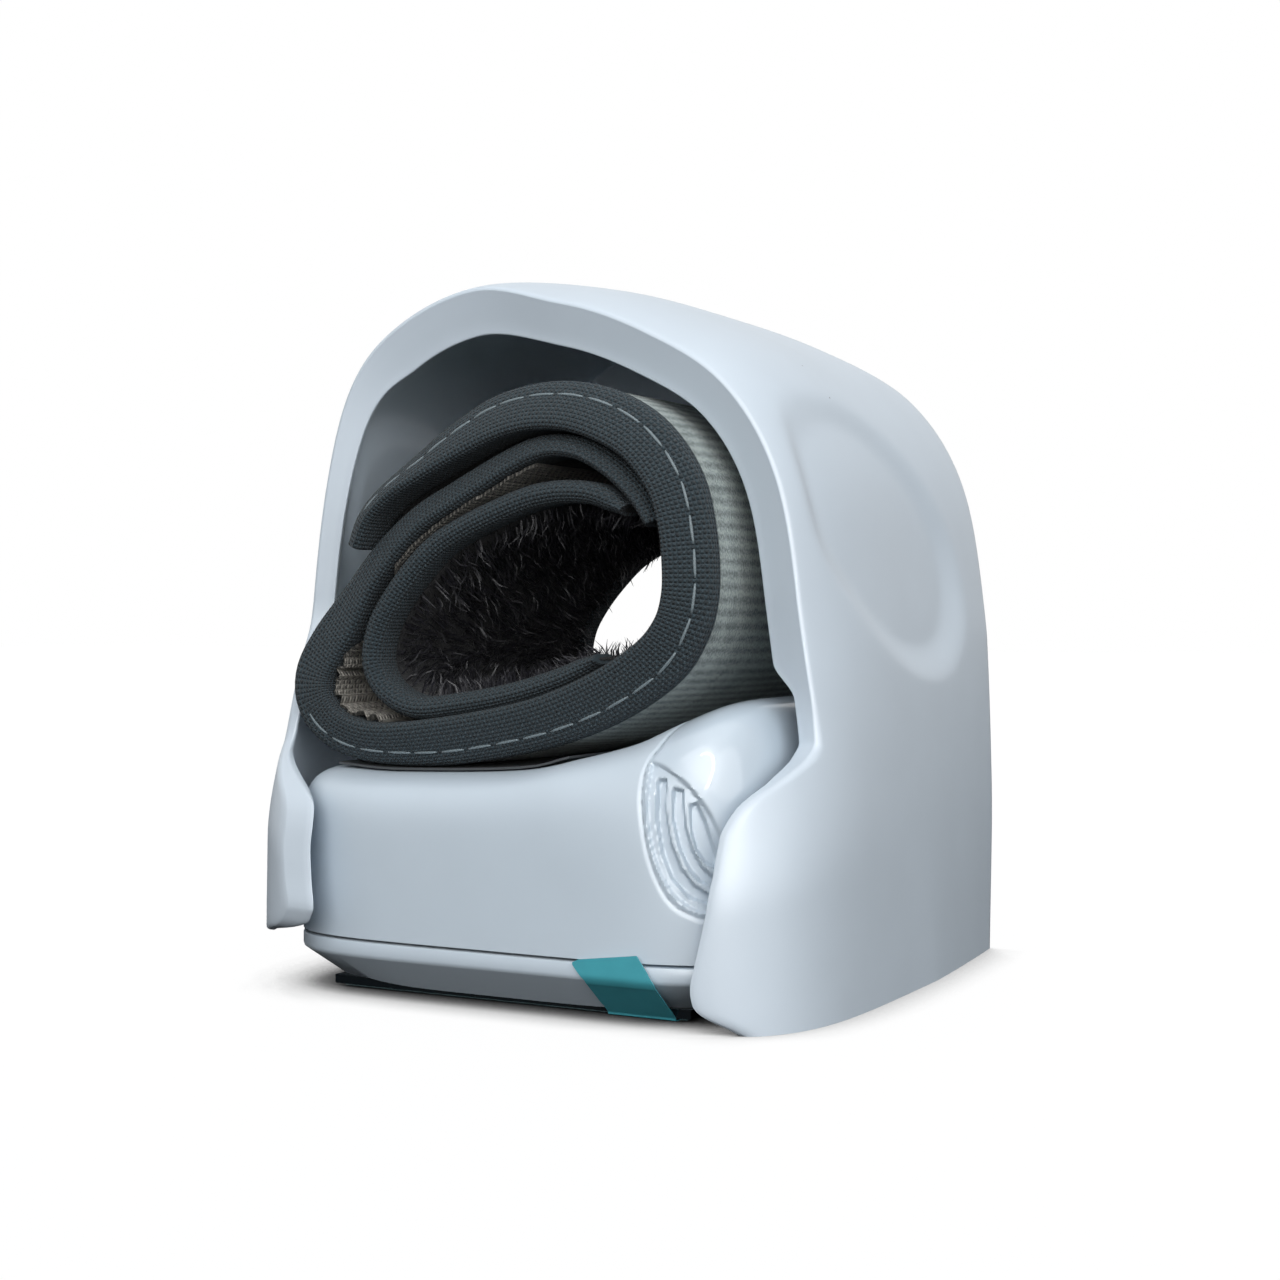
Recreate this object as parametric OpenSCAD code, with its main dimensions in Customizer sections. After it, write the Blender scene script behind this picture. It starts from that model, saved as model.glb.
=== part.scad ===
// Wrist blood pressure monitor, stored: the monitor lies on its display face with its cuff rolled
// on top, and an open-ended arched cover stands over both.
// Millimetres. +Z is up, X runs round the wrist and Y runs along it, with -Y at the viewer's side.
// The origin is the middle of the display face, on the surface that the monitor rests on.

/* [Monitor] */
// Width of the monitor across X
body_w = 75; // [73:0.5:75]
// Length of the monitor along Y
body_l = 70; // [68:0.5:70]
// Height of the seam between the face bezel and the rear housing
seam_h = 7.6; // [7:0.1:7.7]
// Height of the bezel's side above the table, where its face starts to curve in
bezel_edge_h = 5.6; // [5:0.1:6]
// Wall of the moulded housings
wall = 1.8; // [1.5:0.1:2]

/* [Cuff] */
// Width of the cuff along Y
cuff_w = 65; // [60:1:66]
// Front end of the rolled cuff along Y
cuff_front = -28.5; // [-29:0.5:-27]
// Thickness of the padded cuff's outer fabric on each side of its pocket
cover_t = 1.2; // [1:0.05:1.3]
// Thickness of the folded air bladder
bladder_t = 1.3; // [1.1:0.05:1.4]
// Thickness of the springy curler sheet
curler_t = 0.8; // [0.6:0.1:1]

/* [Storage cover] */
// Wall of the cover
case_wall = 2.3; // [2:0.1:2.6]
// Front plane of the arch
rim_y = -19; // [-20:0.5:-18]
// Rear plane of the arch
case_rear = 46; // [42:1:48]
// Height of the rear opening, above which a wall closes the arch
rear_open_h = 86; // [85.4:0.2:88]
// Depth of the finger dimple on each side
dimple_depth = 1.6; // [1:0.1:1.8]
// Height by which the left foot stands clear of the table
left_foot_lift = 9; // [6:0.5:10]

/* [Controls] */
// Length of the start button
start_l = 22; // [18:1:24]
// Width of the start button
start_w = 10; // [8:0.5:11]
// Diameter of the two round buttons
round_d = 8; // [7:0.5:9]
// Gap round each button
button_gap = 0.25; // [0.2:0.05:0.3]

/* [Hidden] */
$fn = 48;

housing_white = "#bcc9d4";
cover_white = "#c6d2dc";
dark_grey = "#33383c";
binding_grey = "#39444c";
metal = "#b9bcc0";
seam_gap = 0.4;
seam_z = seam_h + seam_gap;
fit = 0.15;
case_reach = 62;
case_middle = 20;
bezel_edge_run = 6.5;
crown_power = 4;
foot_reach = 57.5;
foot_power = 6;
side_tuck = 1.1;
top_tuck = [0.66, 1.02];
rear_taper = 0.053;
rim_side_w = 3.9;
rim_top_w = 7.2;
rim_t = 2.4;
lens_w = 56;
lens_y = [-29.5, -3];
button_y = 14.5;
round_x = 22;
cell_d = 10.5;
cell_l = 44.5;
cell_x = 28.3;
cell_z = [18.4, 29.4];
cell_y0 = -23.5;
screw_at = [for (x = [-31, 31], y = [-24, 24]) [x, y]];

// Smooth curve through points, as a Catmull-Rom spline with the given steps in each span.
function spline_point(a, b, c, d, t) =
    0.5 * ((2 * b) + (c - a) * t + (2 * a - 5 * b + 4 * c - d) * t * t + (3 * b - a - 3 * c + d) * t * t * t);
function spline(p, steps) = let (n = len(p))
    [for (i = [0 : n - 2], k = [0 : steps - 1])
        spline_point(i > 0 ? p[i - 1] : 2 * p[0] - p[1], p[i], p[i + 1],
            i + 2 < n ? p[i + 2] : 2 * p[n - 1] - p[n - 2], k / steps),
     p[n - 1]];
function closed_spline(p, steps) = let (n = len(p))
    [for (i = [0 : n - 1], k = [0 : steps - 1])
        spline_point(p[(i + n - 1) % n], p[i], p[(i + 1) % n], p[(i + 2) % n], k / steps)];

// Path moved sideways by d, to the right of its direction of travel.
function unit(v) = v / norm(v);
function side_of(v) = [v[1], -v[0]];
function shifted(p, d) = let (n = len(p))
    [for (i = [0 : n - 1]) p[i] + d * side_of(unit(p[min(i + 1, n - 1)] - p[max(i - 1, 0)]))];
function shifted_loop(p, d) = let (n = len(p))
    [for (i = [0 : n - 1]) p[i] + d * side_of(unit(p[(i + 1) % n] - p[(i + n - 1) % n]))];

function smooth(t) = let (c = max(0, min(1, t))) c * c * (3 - 2 * c);
function sign_pow(v, e) = sign(v) * pow(abs(v), e);
function superellipse(a, b, n, count) =
    [for (i = [0 : count - 1]) let (w = 360 * i / count)
        [a * sign_pow(cos(w), 2 / n), b * sign_pow(sin(w), 2 / n)]];

// Extrusions along Y of a front view, and along X of a side view.
module along_y(y0, y1) {
    translate([0, y1, 0]) rotate([90, 0, 0]) linear_extrude(y1 - y0) children();
}
module along_x(x0, x1) {
    translate([x0, 0, 0]) rotate([90, 0, 90]) linear_extrude(x1 - x0) children();
}

// Storage cover: one skin lofted from the front edge, with its rim and wings, to the rear plane.
// The crown along Y is a superellipse, and it narrows the arch towards its front. The right foot
// has a fuller one, and both feet also draw in towards the rear.
left_leg = spline([[-45.5, 0], [-45, 24.5], [-43.6, 50.8], [-40.5, 73.3]], 6);
right_leg = spline([[45.2, 0], [44.2, 28], [42.3, 55], [38.5, 74]], 6);
arch_top = spline([[-40.5, 73.3], [-36, 88.3], [-27, 96.6], [-13, 101.1], [3, 99.7], [17, 94.8], [30, 86.9], [38.5, 74]], 4);
leg_heights = [0, 1.5, 3.5, 6, 9, 14, 20, 25, 28, 30.5, 32, 33, 33.8, 34.8, 36.2, 38, 40.5, 43, 45.5, 48,
    51.5, 55, 59, 63, 67, 71];
left_wing = spline([[0, -32], [3, -36.5], [8, -37.6], [16, -36.8], [25, -35.6], [30, -34], [33, -30.5],
    [34.2, -25], [36.2, -20.2], [40, rim_y], [60, rim_y]], 4);
right_wing = spline([[0, -33.4], [3, -35.6], [6.4, -36.1], [11.9, -35.9], [21, -35.2], [25.5, -34.4], [28.6, -33.6],
    [30.8, -32.7], [33.1, -30.4], [34.2, -26.2], [36.2, -20.4], [40, rim_y], [60, rim_y]], 4);
dimple_middle = [8, 63];
dimple_size = [27, 16];
dimple_turn = -27.5;

function flipped(p) = [for (q = p) [q[1], q[0]]];
function reversed(p) = [for (i = [len(p) - 1 : -1 : 0]) p[i]];
function lifted(h) = h + left_foot_lift * (1 - h / 75);
function above(h0) = [for (h = leg_heights) if (h > h0) h];
left_z = concat([for (h = leg_heights) if (h < 12) lifted(h)], above(18));
left_edge = concat([for (h = leg_heights) if (h < 12) h], above(18));
function crown(y, reach, power) = pow(1 - pow(abs(y - case_middle) / reach, power), 1 / power);
function dimple(x, y, z) = let (
        d = [y, z] - dimple_middle,
        along = d[0] * cos(dimple_turn) + d[1] * sin(dimple_turn),
        across = d[1] * cos(dimple_turn) - d[0] * sin(dimple_turn),
        r = norm([along / dimple_size[0], across / dimple_size[1]]))
    sign(x) * dimple_depth * smooth((1.1 - r) / 0.32) * smooth((abs(x) - 18) / 10)
        * smooth((y - rim_y - rim_t) / 5);
function cover_point(p, y) = let (
        t = 1 - crown(y, case_reach, crown_power),
        foot = p[0] > 0 ? 1 - crown(y, foot_reach, foot_power) : t,
        high = smooth((p[1] - 18) / 38),
        rear = rear_taper * max(0, 1 - p[1] / 50) * pow(max(0, (y - 14) / 32), 1.2),
        x = p[0] * (1 - foot * (1 - high) - t * (1 + side_tuck) * high - rear),
        z = p[1] * (1 - t * (top_tuck[0] + (top_tuck[1] - top_tuck[0]) * smooth((p[0] + 13) / 16))))
    [x - dimple(x, y, z), y, z];

arch_outer = concat([for (z = left_z) [lookup(z, flipped(left_leg)), z]], arch_top,
    reversed([for (h = leg_heights) [lookup(h, flipped(right_leg)), h]]));
arch_inner = shifted(arch_outer, case_wall);
edge_heights = concat(left_edge, [for (p = arch_top) 100], reversed(leg_heights));
front_y = [for (i = [0 : len(arch_outer) - 1]) let (h = edge_heights[i])
    h > 40 ? rim_y : lookup(h, arch_outer[i][0] < 0 ? left_wing : right_wing)];
// The rim starts above the wings, on the right with a narrow step first.
rim_width = [for (i = [0 : len(arch_outer) - 1]) let (
        x = arch_outer[i][0],
        h = edge_heights[i],
        full = rim_side_w + (rim_top_w - rim_side_w) * smooth((x + 44) / 16),
        step = x > 0 ? smooth((h - 33) / 3) : smooth((h - 43) / 5))
    case_wall + (rim_side_w - case_wall) * step + (full - rim_side_w) * smooth((h - 43) / 5)];
rim_inner = [for (i = [0 : len(arch_outer) - 1])
    arch_outer[i] + (arch_inner[i] - arch_outer[i]) * rim_width[i] / case_wall];
rear_inner = [for (p = arch_inner) [p[0], min(p[1], rear_open_h)]];
rows_back = [0.035, 0.07, 0.12, 0.18, 0.24, 0.31, 0.38, 0.45, 0.52, 0.6, 0.68, 0.77, 0.88, 1];
rows = len(rows_back) + 5;

function row_y(i, k) = let (inside = case_rear - case_wall)
    k == 0 ? front_y[i] : k == 1 ? front_y[i] + rim_t / 2 : k == 2 ? front_y[i] + rim_t
    : k == rows - 1 ? case_rear : k == rows - 2 ? case_rear - case_wall / 2
    : front_y[i] + rim_t + (inside - front_y[i] - rim_t) * rows_back[k - 3];
function outer_row(k) = [for (i = [0 : len(arch_outer) - 1]) cover_point(arch_outer[i], row_y(i, k))];
function inner_row(k) = [for (i = [0 : len(arch_outer) - 1])
    k < 2 ? cover_point(rim_inner[i], row_y(i, 2 * k))
    : k > rows - 3 ? cover_point(rear_inner[i], row_y(i, 2 * k - rows + 1)) : cover_point(arch_inner[i], row_y(i, k))];

module storage_cover() {
    n = len(arch_outer);
    m = rows;
    ring = 2 * n;
    last = (m - 1) * ring;
    points = [for (k = [0 : m - 1]) each concat(outer_row(k), reversed(inner_row(k)))];
    skin = [for (k = [0 : m - 2], i = [0 : ring - 1]) let (a = k * ring + i, b = k * ring + (i + 1) % ring)
        each [[a, b, b + ring], [a, b + ring, a + ring]]];
    ends = [for (i = [0 : n - 2]) each [
        [i, ring - 1 - i, i + 1], [ring - 1 - i, ring - 2 - i, i + 1],
        [last + i, last + i + 1, last + ring - 1 - i], [last + ring - 1 - i, last + i + 1, last + ring - 2 - i]]];
    color(cover_white) polyhedron(points, concat(skin, ends), convexity = 6);
}

// Monitor body: the common part of its front, plan and side views.
top_points = [
    [-36.6, 22], [-35.8, 29], [-32, 30.9], [-20, 30.4], [0, 31.2], [10, 33.2], [18, 35.6], [24, 38.7],
    [30, 41], [34, 39.7], [36.3, 34], [37.4, 24]
];
plan_power = 5;
module front_view(inset) {
    top = shifted(spline(top_points, 5), inset);
    side = body_w / 2 - inset;
    polygon(concat([[-side, 0]], top, [[side, 0]]));
}
module plan_view(inset) {
    polygon(superellipse(body_w / 2 - inset, body_l / 2 - inset, plan_power, 88));
}
module side_view(inset) {
    half = body_l / 2 - inset;
    r = 9 - inset;
    top = 42.5 - inset;
    hull_free = [for (w = [0 : 7.5 : 90]) [half - r + r * cos(w), top - r + r * sin(w)]];
    polygon(concat([[-half, 0], [half, 0]], hull_free,
        [for (i = [len(hull_free) - 1 : -1 : 0]) [-hull_free[i][0], hull_free[i][1]]]));
}
module body_solid(inset, z0) {
    intersection() {
        along_y(-body_l, body_l) front_view(inset);
        along_x(-body_w, body_w) side_view(inset);
        translate([0, 0, z0]) linear_extrude(60) plan_view(inset);
    }
}

// The battery cover takes the right end of the housing down to a curved seam.
cover_seam = spline([[25.8, 50], [24.4, 37], [23.3, 33.6], [23, 31], [23.3, 27], [24.4, 21.4], [26.6, 16.6], [29.4, 14.4],
    [33, 13.7], [45, 13.7]], 5);
cover_back = 25;
module battery_door_region(gap) {
    along_y(-50, cover_back - gap)
        polygon(concat(shifted(cover_seam, -gap), [[45, 50]]));
}

// Four catches on the bezel's lip snap into slots inside the housing wall.
catch_l = 12;
module catches(inset, z0, h) {
    intersection() {
        translate([0, 0, z0]) linear_extrude(h) difference() {
            plan_view(inset);
            plan_view(wall + 1.2);
        }
        for (y = [-16, 16]) translate([0, y, z0]) cube([body_w + 2, catch_l, 2 * h], center = true);
    }
}

pump_axis = [-22, 13, 20];
tube_hole = [-12, 8];
module rear_housing() {
    color(housing_white) difference() {
        body_solid(0, seam_z);
        difference() {
            body_solid(wall, seam_z - 1);
            translate([17.5, -40, 11]) cube([30, 66.5, 40]);
        }
        intersection() {
            body_solid(wall, seam_z);
            translate([19, -40, 12.6]) cube([30, 40 + cover_back, 40]);
        }
        battery_door_region(0);
        translate([tube_hole[0], tube_hole[1], 20]) cylinder(d = 4.2, h = 20);
        catches(wall - 0.55, seam_h + 0.7, 1);
    }
    color(housing_white) difference() {
        intersection() {
            body_solid(wall - 0.3, seam_z);
            union() {
                for (y = [-5, 1]) translate([-31.5, y, 20.5]) cube([17.3, 1.4, 12]);
                for (y = [-20, 2, 20]) translate([20.5, y, 12]) cube([15, 1.2, 3.6]);
            }
        }
        translate(pump_axis + [0, -30, 0]) rotate([-90, 0, 0]) cylinder(d = 15.8, h = 60);
        translate([cell_x, -40, cell_z[0]]) rotate([-90, 0, 0]) cylinder(d = cell_d + 0.3, h = 80);
        battery_door_region(0);
    }
}

// Thumb grip: a shallow leaf beside the seam, with three channels nested in it.
leaf = concat(spline([[23.7, 33.4], [25.2, 33], [27.2, 31.9], [28.9, 30.6], [30.2, 29.1], [31.2, 27.6], [32, 26], [33.2, 22.5],
    [34, 18]], 3), spline([[33.4, 15.2], [31.3, 14.7], [29.5, 15.2], [27.6, 16.8], [26, 19.2], [24.9, 22], [24.2, 25],
    [23.8, 28.5]], 3));
channels = [
    [[24.8, 31.4], [25.1, 26.2], [25.9, 21.9], [27.2, 18.7], [29.3, 16.5], [31.5, 15.7], [33, 15.7],
        [33, 16.7], [31.5, 16.9], [29.9, 18], [28.3, 20.2], [27, 23.3], [26.2, 27.6], [26, 31.4]],
    [[27, 30.3], [27.2, 26.3], [28.1, 22.6], [29.3, 20], [30.6, 18.5], [32, 17.9], [33.2, 17.8],
        [33.2, 18.8], [32, 19.1], [30.8, 20.3], [29.7, 22.4], [28.8, 25.4], [28.3, 30]],
    [[29.3, 28.2], [29.5, 24.8], [30.2, 22.4], [31.2, 20.9], [32.3, 20.2], [32.5, 21.4], [31.8, 23.7], [31.1, 26.1],
        [30.1, 28.4]]];
module battery_cover() {
    color(housing_white) difference() {
        intersection() {
            body_solid(0, seam_z);
            battery_door_region(fit);
        }
        body_solid(wall, seam_z - 1);
        difference() {
            along_y(-50, -20) polygon(leaf);
            body_solid(0.45, 0);
        }
        difference() {
            along_y(-50, -20) for (c = channels) polygon(c);
            body_solid(0.9, 0);
        }
    }
}

// Face bezel: flat land on the table, edge curving up to its side, and an open back.
module face_edge(half, z0) {
    r = bezel_edge_h;
    run = bezel_edge_run;
    right = [for (w = [0 : 15 : 90]) [half - run + run * sin(w), z0 + r - r * cos(w)]];
    polygon(concat(right, [[half, seam_h + 2], [-half, seam_h + 2]],
        [for (i = [len(right) - 1 : -1 : 0]) [-right[i][0], right[i][1]]]));
}
module bezel_solid(inset) {
    intersection() {
        translate([0, 0, inset - 0.01]) linear_extrude(seam_h - inset + (inset > 0 ? 2 : 0.01)) plan_view(inset);
        along_y(-body_l, body_l) face_edge(body_w / 2 - inset, inset);
        along_x(-body_w, body_w) face_edge(body_l / 2 - inset, inset);
    }
}
module pill(l, w) {
    for (side = [-1, 1]) translate([side * (l - w) / 2, 0]) circle(d = w);
    square([l - w, w], center = true);
}
module front_bezel() {
    color(housing_white) difference() {
        union() {
            bezel_solid(0);
            translate([0, 0, seam_h - 1.5]) linear_extrude(3.1) difference() {
                plan_view(wall + 0.2);
                plan_view(wall + 1.2);
            }
        }
        intersection() {
            bezel_solid(wall + 0.4);
            translate([0, 0, 25]) cube([60, 56, 50 - 0.01], center = true);
        }
        translate([0, 0, 3.2]) linear_extrude(10) plan_view(wall + 1.2);
        translate([-lens_w / 2 - fit, lens_y[0] - fit, -1])
            cube([lens_w + 2 * fit, lens_y[1] - lens_y[0] + 2 * fit, 2.7]);
        translate([-lens_w / 2 + 3, lens_y[0] + 3, -1]) cube([lens_w - 6, lens_y[1] - lens_y[0] - 6, 6]);
        translate([0, button_y, -1]) linear_extrude(6) pill(start_l + 2 * button_gap, start_w + 2 * button_gap);
        for (side = [-1, 1]) translate([side * round_x, button_y, -1]) cylinder(d = round_d + 2 * button_gap, h = 6);
        translate([tab_x, -body_l / 2 - 1, -1]) cube([tab_w + 1, body_l / 2 + 1 + lens_y[0], 1.4]);
    }
    color(housing_white) catches(wall - 0.1, seam_h + 0.9, 0.6);
    color(housing_white) for (p = screw_at)
        translate([p[0], p[1], 2]) difference() {
            cylinder(d = 5, h = board_z - 2);
            translate([0, 0, 1]) cylinder(d = 2, h = 10);
        }
}

module display_lens() {
    color("#10161a") translate([-lens_w / 2, lens_y[0], 0.5])
        cube([lens_w, lens_y[1] - lens_y[0], 1.2]);
}
module lcd_panel() {
    color("#8f9b8a") translate([-24, lens_y[0] + 3.2, 1.8]) cube([48, 20, 1.8]);
}
// Two rubber strips that join the panel's glass to the circuit board.
module contact_strips() {
    color("#6b4a52") for (y = [lens_y[0] + 3.6, lens_y[0] + 21.2])
        translate([-22, y, 3.65]) cube([44, 1.6, board_z - 3.7]);
}

// Thin clear film over the lens, with a coloured pull tab turned up over the bezel's edge.
tab_x = 13.8;
tab_w = 11.2;
film_t = 0.3;
module screen_film() {
    flat_end = -body_l / 2 + bezel_edge_run;
    r = bezel_edge_h + 0.36;
    run = bezel_edge_run + 0.36;
    fold = concat([[lens_y[0] + 3, 0.04], [flat_end - 2.1, 0.04]],
        [for (w = [22.5 : 7.5 : 90]) [flat_end - run * sin(w), max(0.04, bezel_edge_h - r * cos(w))]],
        [[flat_end - run, 9.6]]);
    color("#3f95a2") {
        translate([-lens_w / 2 + 1, lens_y[0] + 1, 0.12]) cube([lens_w - 2, lens_y[1] - lens_y[0] - 2, film_t]);
        along_x(tab_x + 0.5, tab_x + 0.5 + tab_w - 1)
            polygon(concat(fold, reversed(shifted(fold, film_t))));
    }
}

button_face = 0.35;
button_top = 3.4;
flange_z = 2.4;
module start_button() {
    color("#9fb3c2") translate([0, button_y, 0]) {
        translate([0, 0, button_face]) linear_extrude(button_top - button_face) pill(start_l, start_w);
        translate([0, 0, flange_z]) linear_extrude(button_top - flange_z) pill(start_l + 2, start_w + 2);
    }
}
module round_button(side) {
    color("#9fb3c2") translate([side * round_x, button_y, 0]) {
        translate([0, 0, button_face]) cylinder(d = round_d, h = button_top - button_face);
        translate([0, 0, flange_z]) cylinder(d = round_d + 2, h = button_top - flange_z);
    }
}
module memory_button() { round_button(-1); }
module set_button() { round_button(1); }

// Silicone mat on the circuit board, with a dome that reaches down to each button.
mat_z = 7.3;
module button_mat() {
    color("#d8dcd8") {
        translate([-29, button_y - 6.5, mat_z]) cube([58, 13, board_z - 0.05 - mat_z]);
        translate([0, button_y, button_top + 1]) linear_extrude(mat_z - button_top - 0.9) pill(start_l - 6, start_w - 4);
        for (side = [-1, 1]) translate([side * round_x, button_y, button_top + 1])
            cylinder(d1 = 4.6, d2 = 6.4, h = mat_z - button_top - 0.9);
    }
}

board_z = 8.2;
module circuit_board() {
    color("#2f6b46") difference() {
        translate([0, 0, board_z]) linear_extrude(1.2) intersection() {
            square([67, 58], center = true);
            plan_view(wall + 1.7);
        }
        for (p = screw_at) translate([p[0], p[1], board_z - 1]) cylinder(d = 2.6, h = 4);
    }
    color(dark_grey) {
        translate([-12, 10, board_z + 1.2]) cube([9, 9, 1]);
        translate([-26, -4, board_z + 1.2]) cube([6, 5, 1]);
    }
}

module pump_motor() {
    color(metal) translate(pump_axis) rotate([90, 0, 0]) cylinder(d = 15.5, h = 20);
}
module pump_head() {
    color(dark_grey) translate(pump_axis) rotate([-90, 0, 0]) {
        cylinder(d = 16.5, h = 10);
        translate([0, 0, 10]) cylinder(d = 3.6, h = 3.5);
    }
}
module release_valve() {
    color(dark_grey) translate([-5, -22, board_z + 1.25]) cube([10, 12, 9]);
    color(metal) translate([0, -10, board_z + 6]) rotate([-90, 0, 0]) cylinder(d = 3, h = 4);
}
module pressure_sensor() {
    color("#d9d4c5") translate([3, 6, board_z + 1.25]) cube([7, 7, 3.5]);
    color("#d9d4c5") translate([6.5, 9.5, board_z + 4.7]) cylinder(d = 3, h = 3.2);
}

// Swept tube through hand-chosen points.
module swept_tube(route, r, sides) {
    n = len(route);
    rings = [for (i = [0 : n - 1]) let (
            d = unit(route[min(i + 1, n - 1)] - route[max(i - 1, 0)]),
            u = unit(cross(d, [1, 0, 0.001])), v = cross(d, u))
        for (k = [0 : sides - 1]) route[i] + r * (cos(360 * k / sides) * u + sin(360 * k / sides) * v)];
    skin = [for (i = [0 : n - 2], k = [0 : sides - 1]) let (a = i * sides + k, b = i * sides + (k + 1) % sides)
        each [[a, a + sides, b], [b, a + sides, b + sides]]];
    polyhedron(rings, concat(skin, [[for (k = [0 : sides - 1]) k],
        [for (k = [sides - 1 : -1 : 0]) (n - 1) * sides + k]]), convexity = 4);
}
tube_route = [[-22, 26.7, 20], [-21.6, 28.4, 20], [-20, 30, 20.4], [-17, 30.4, 21], [-14, 28.6, 21.8],
    [-12.4, 24, 22.2], [-12, 17, 22.2], [-12, 11.4, 22.3], [-12, 9, 22.9], [-12, 8, 24.4], [-12, 8, 25.6]];
module air_tube() {
    color("#e3e2dc") swept_tube(tube_route, 1.6, 8);
}
module air_nipple() {
    color(dark_grey) translate([tube_hole[0], tube_hole[1], 25.7]) difference() {
        union() {
            cylinder(d = 3.8, h = 8.5);
            cylinder(d = 6, h = 1.4);
        }
        translate([0, 0, -1]) cylinder(d = 1.6, h = 11);
    }
}
module beeper() {
    color(dark_grey) translate([11.5, -18, board_z + 1.25]) cylinder(d = 9, h = 3);
}

// Battery cell with its raised positive end, lying along Y.
module cell(z, flip) {
    color("#2b3136") translate([cell_x, cell_y0 + (flip ? cell_l : 0), z]) rotate([flip ? 90 : -90, 0, 0]) {
        cylinder(d = cell_d, h = cell_l - 1);
        translate([0, 0, cell_l - 1]) cylinder(d = 3.8, h = 1);
    }
}
module battery_lower() { cell(cell_z[0], false); }
module battery_upper() { cell(cell_z[1], true); }
module coil(turns, r, wire, pitch) {
    steps = 12;
    n = turns * steps;
    route = [for (i = [0 : n]) [r * cos(360 * i / steps), r * sin(360 * i / steps), wire + pitch * i / steps]];
    rings = [for (i = [0 : n]) let (w = 360 * i / steps) for (k = [0 : 5])
        route[i] + wire * (cos(60 * k) * [cos(w), sin(w), 0] + sin(60 * k) * [0, 0, 1])];
    skin = [for (i = [0 : n - 1], k = [0 : 5]) let (a = i * 6 + k, b = i * 6 + (k + 1) % 6)
        each [[a, b, a + 6], [b, b + 6, a + 6]]];
    polyhedron(rings, concat(skin, [[for (k = [5 : -1 : 0]) k], [for (k = [0 : 5]) n * 6 + k]]), convexity = 6);
}
module battery_springs() {
    color(metal) {
        translate([cell_x, cell_y0 - 3.2, cell_z[0]]) rotate([-90, 0, 0]) coil(3, 2.6, 0.35, 0.8);
        translate([cell_x, cell_y0 + cell_l + 2.5, cell_z[1]]) rotate([90, 0, 0]) coil(2, 2.6, 0.35, 0.8);
    }
}
module battery_plates() {
    color(metal) {
        translate([cell_x - 3.5, cell_y0 - 3.7, cell_z[0] - 4]) cube([7, 0.5, 8]);
        translate([cell_x - 3.5, cell_y0 - 0.5, cell_z[1] - 4]) cube([7, 0.45, 8]);
        translate([cell_x - 3.5, cell_y0 + cell_l + 0.05, cell_z[0] - 4]) cube([7, 0.45, 8]);
        translate([cell_x - 3.5, cell_y0 + cell_l + 2.5, cell_z[1] - 4]) cube([7, 0.5, 7]);
    }
}
// Screws that hold the circuit board to the bezel's four posts.
module board_screws() {
    color(metal) for (p = screw_at) translate([p[0], p[1], 0]) {
        translate([0, 0, board_z + 1.2]) cylinder(d = 3.8, h = 1.4);
        translate([0, 0, 3.4]) cylinder(d = 1.9, h = board_z - 1.6);
    }
}

// Plate that clamps the cuff to the saddle.
module cuff_plate() {
    low = spline([[-30, 31.05], [-20, 30.5], [0, 31.3], [8, 33]], 4);
    color(dark_grey) difference() {
        along_y(-26, 26) polygon(concat(low, reversed([for (p = low) p + [0, 0.3]])));
        translate([tube_hole[0], tube_hole[1], 20]) cylinder(d = 4.4, h = 20);
    }
}

// Rolled cuff in end view. The padded strip's middle line, with its half thickness, starts at the
// loose tail, goes over the top and round the saddle, folds at the left and ends inside the top.
cuff_path = spline([
    [-26.4, 61.9, 0.9], [-24.4, 66.3, 1.2], [-20.8, 69.8, 1.5], [-15.6, 73, 1.95], [-10.6, 75.8, 2.45], [-4.6, 78.6, 2.85],
    [0.1, 79.9, 2.95], [4.7, 80.3, 3], [9.5, 79.8, 3.05], [14.3, 78.2, 3.1], [18.6, 75.7, 3], [21.8, 72.4, 2.9],
    [24.1, 68.5, 2.8], [25.3, 64.2, 2.7], [25.9, 59.1, 2.7], [25.8, 54.4, 2.7], [24.5, 50.2, 2.75], [21.2, 46, 3],
    [14.6, 41.8, 3.1], [6.6, 38.5, 3.05], [-1.4, 36.45, 3], [-12, 34.7, 2.95], [-22, 34.1, 2.6], [-28, 35.1, 2.6],
    [-31.7, 37.4, 2.6], [-33.6, 40.6, 2.75], [-33.6, 44.2, 2.85], [-31.7, 47.9, 2.9], [-29.2, 51.3, 2.85],
    [-26.3, 55.4, 2.3], [-23.6, 58.9, 2.1], [-20, 62.6, 1.9], [-15.6, 66, 1.75], [-10.2, 68.8, 1.65], [-5.4, 71.2, 1.6],
    [-1.4, 73.1, 1.5], [2.4, 74.5, 1.4], [6, 74.9, 1.2], [10, 74.2, 1.1], [13.6, 72.3, 1], [16.7, 69.9, 0.95],
    [19.2, 67.2, 0.9], [21, 64.3, 0.8]], 4);
// Inner lining strip, from the bottom of the opening round its left to the top.
lining_path = spline([
    [12.6, 46.3, 0.8], [6.4, 43.6, 1.1], [-1.2, 41.4, 1.2], [-9.6, 39.9, 1.25], [-16.6, 39.3, 1.3], [-21.6, 41.4, 1.35],
    [-24, 45.2, 1.4], [-23.4, 49.9, 1.4], [-21, 54.1, 1.4], [-17.4, 58.3, 1.4], [-13.3, 61.9, 1.35],
    [-8.2, 64.5, 1.3], [-2.5, 66.7, 1.3], [2.6, 68.2, 1.3], [7.6, 68.7, 1.25], [12.4, 68.1, 1.2], [16.6, 66, 1]], 4);
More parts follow.
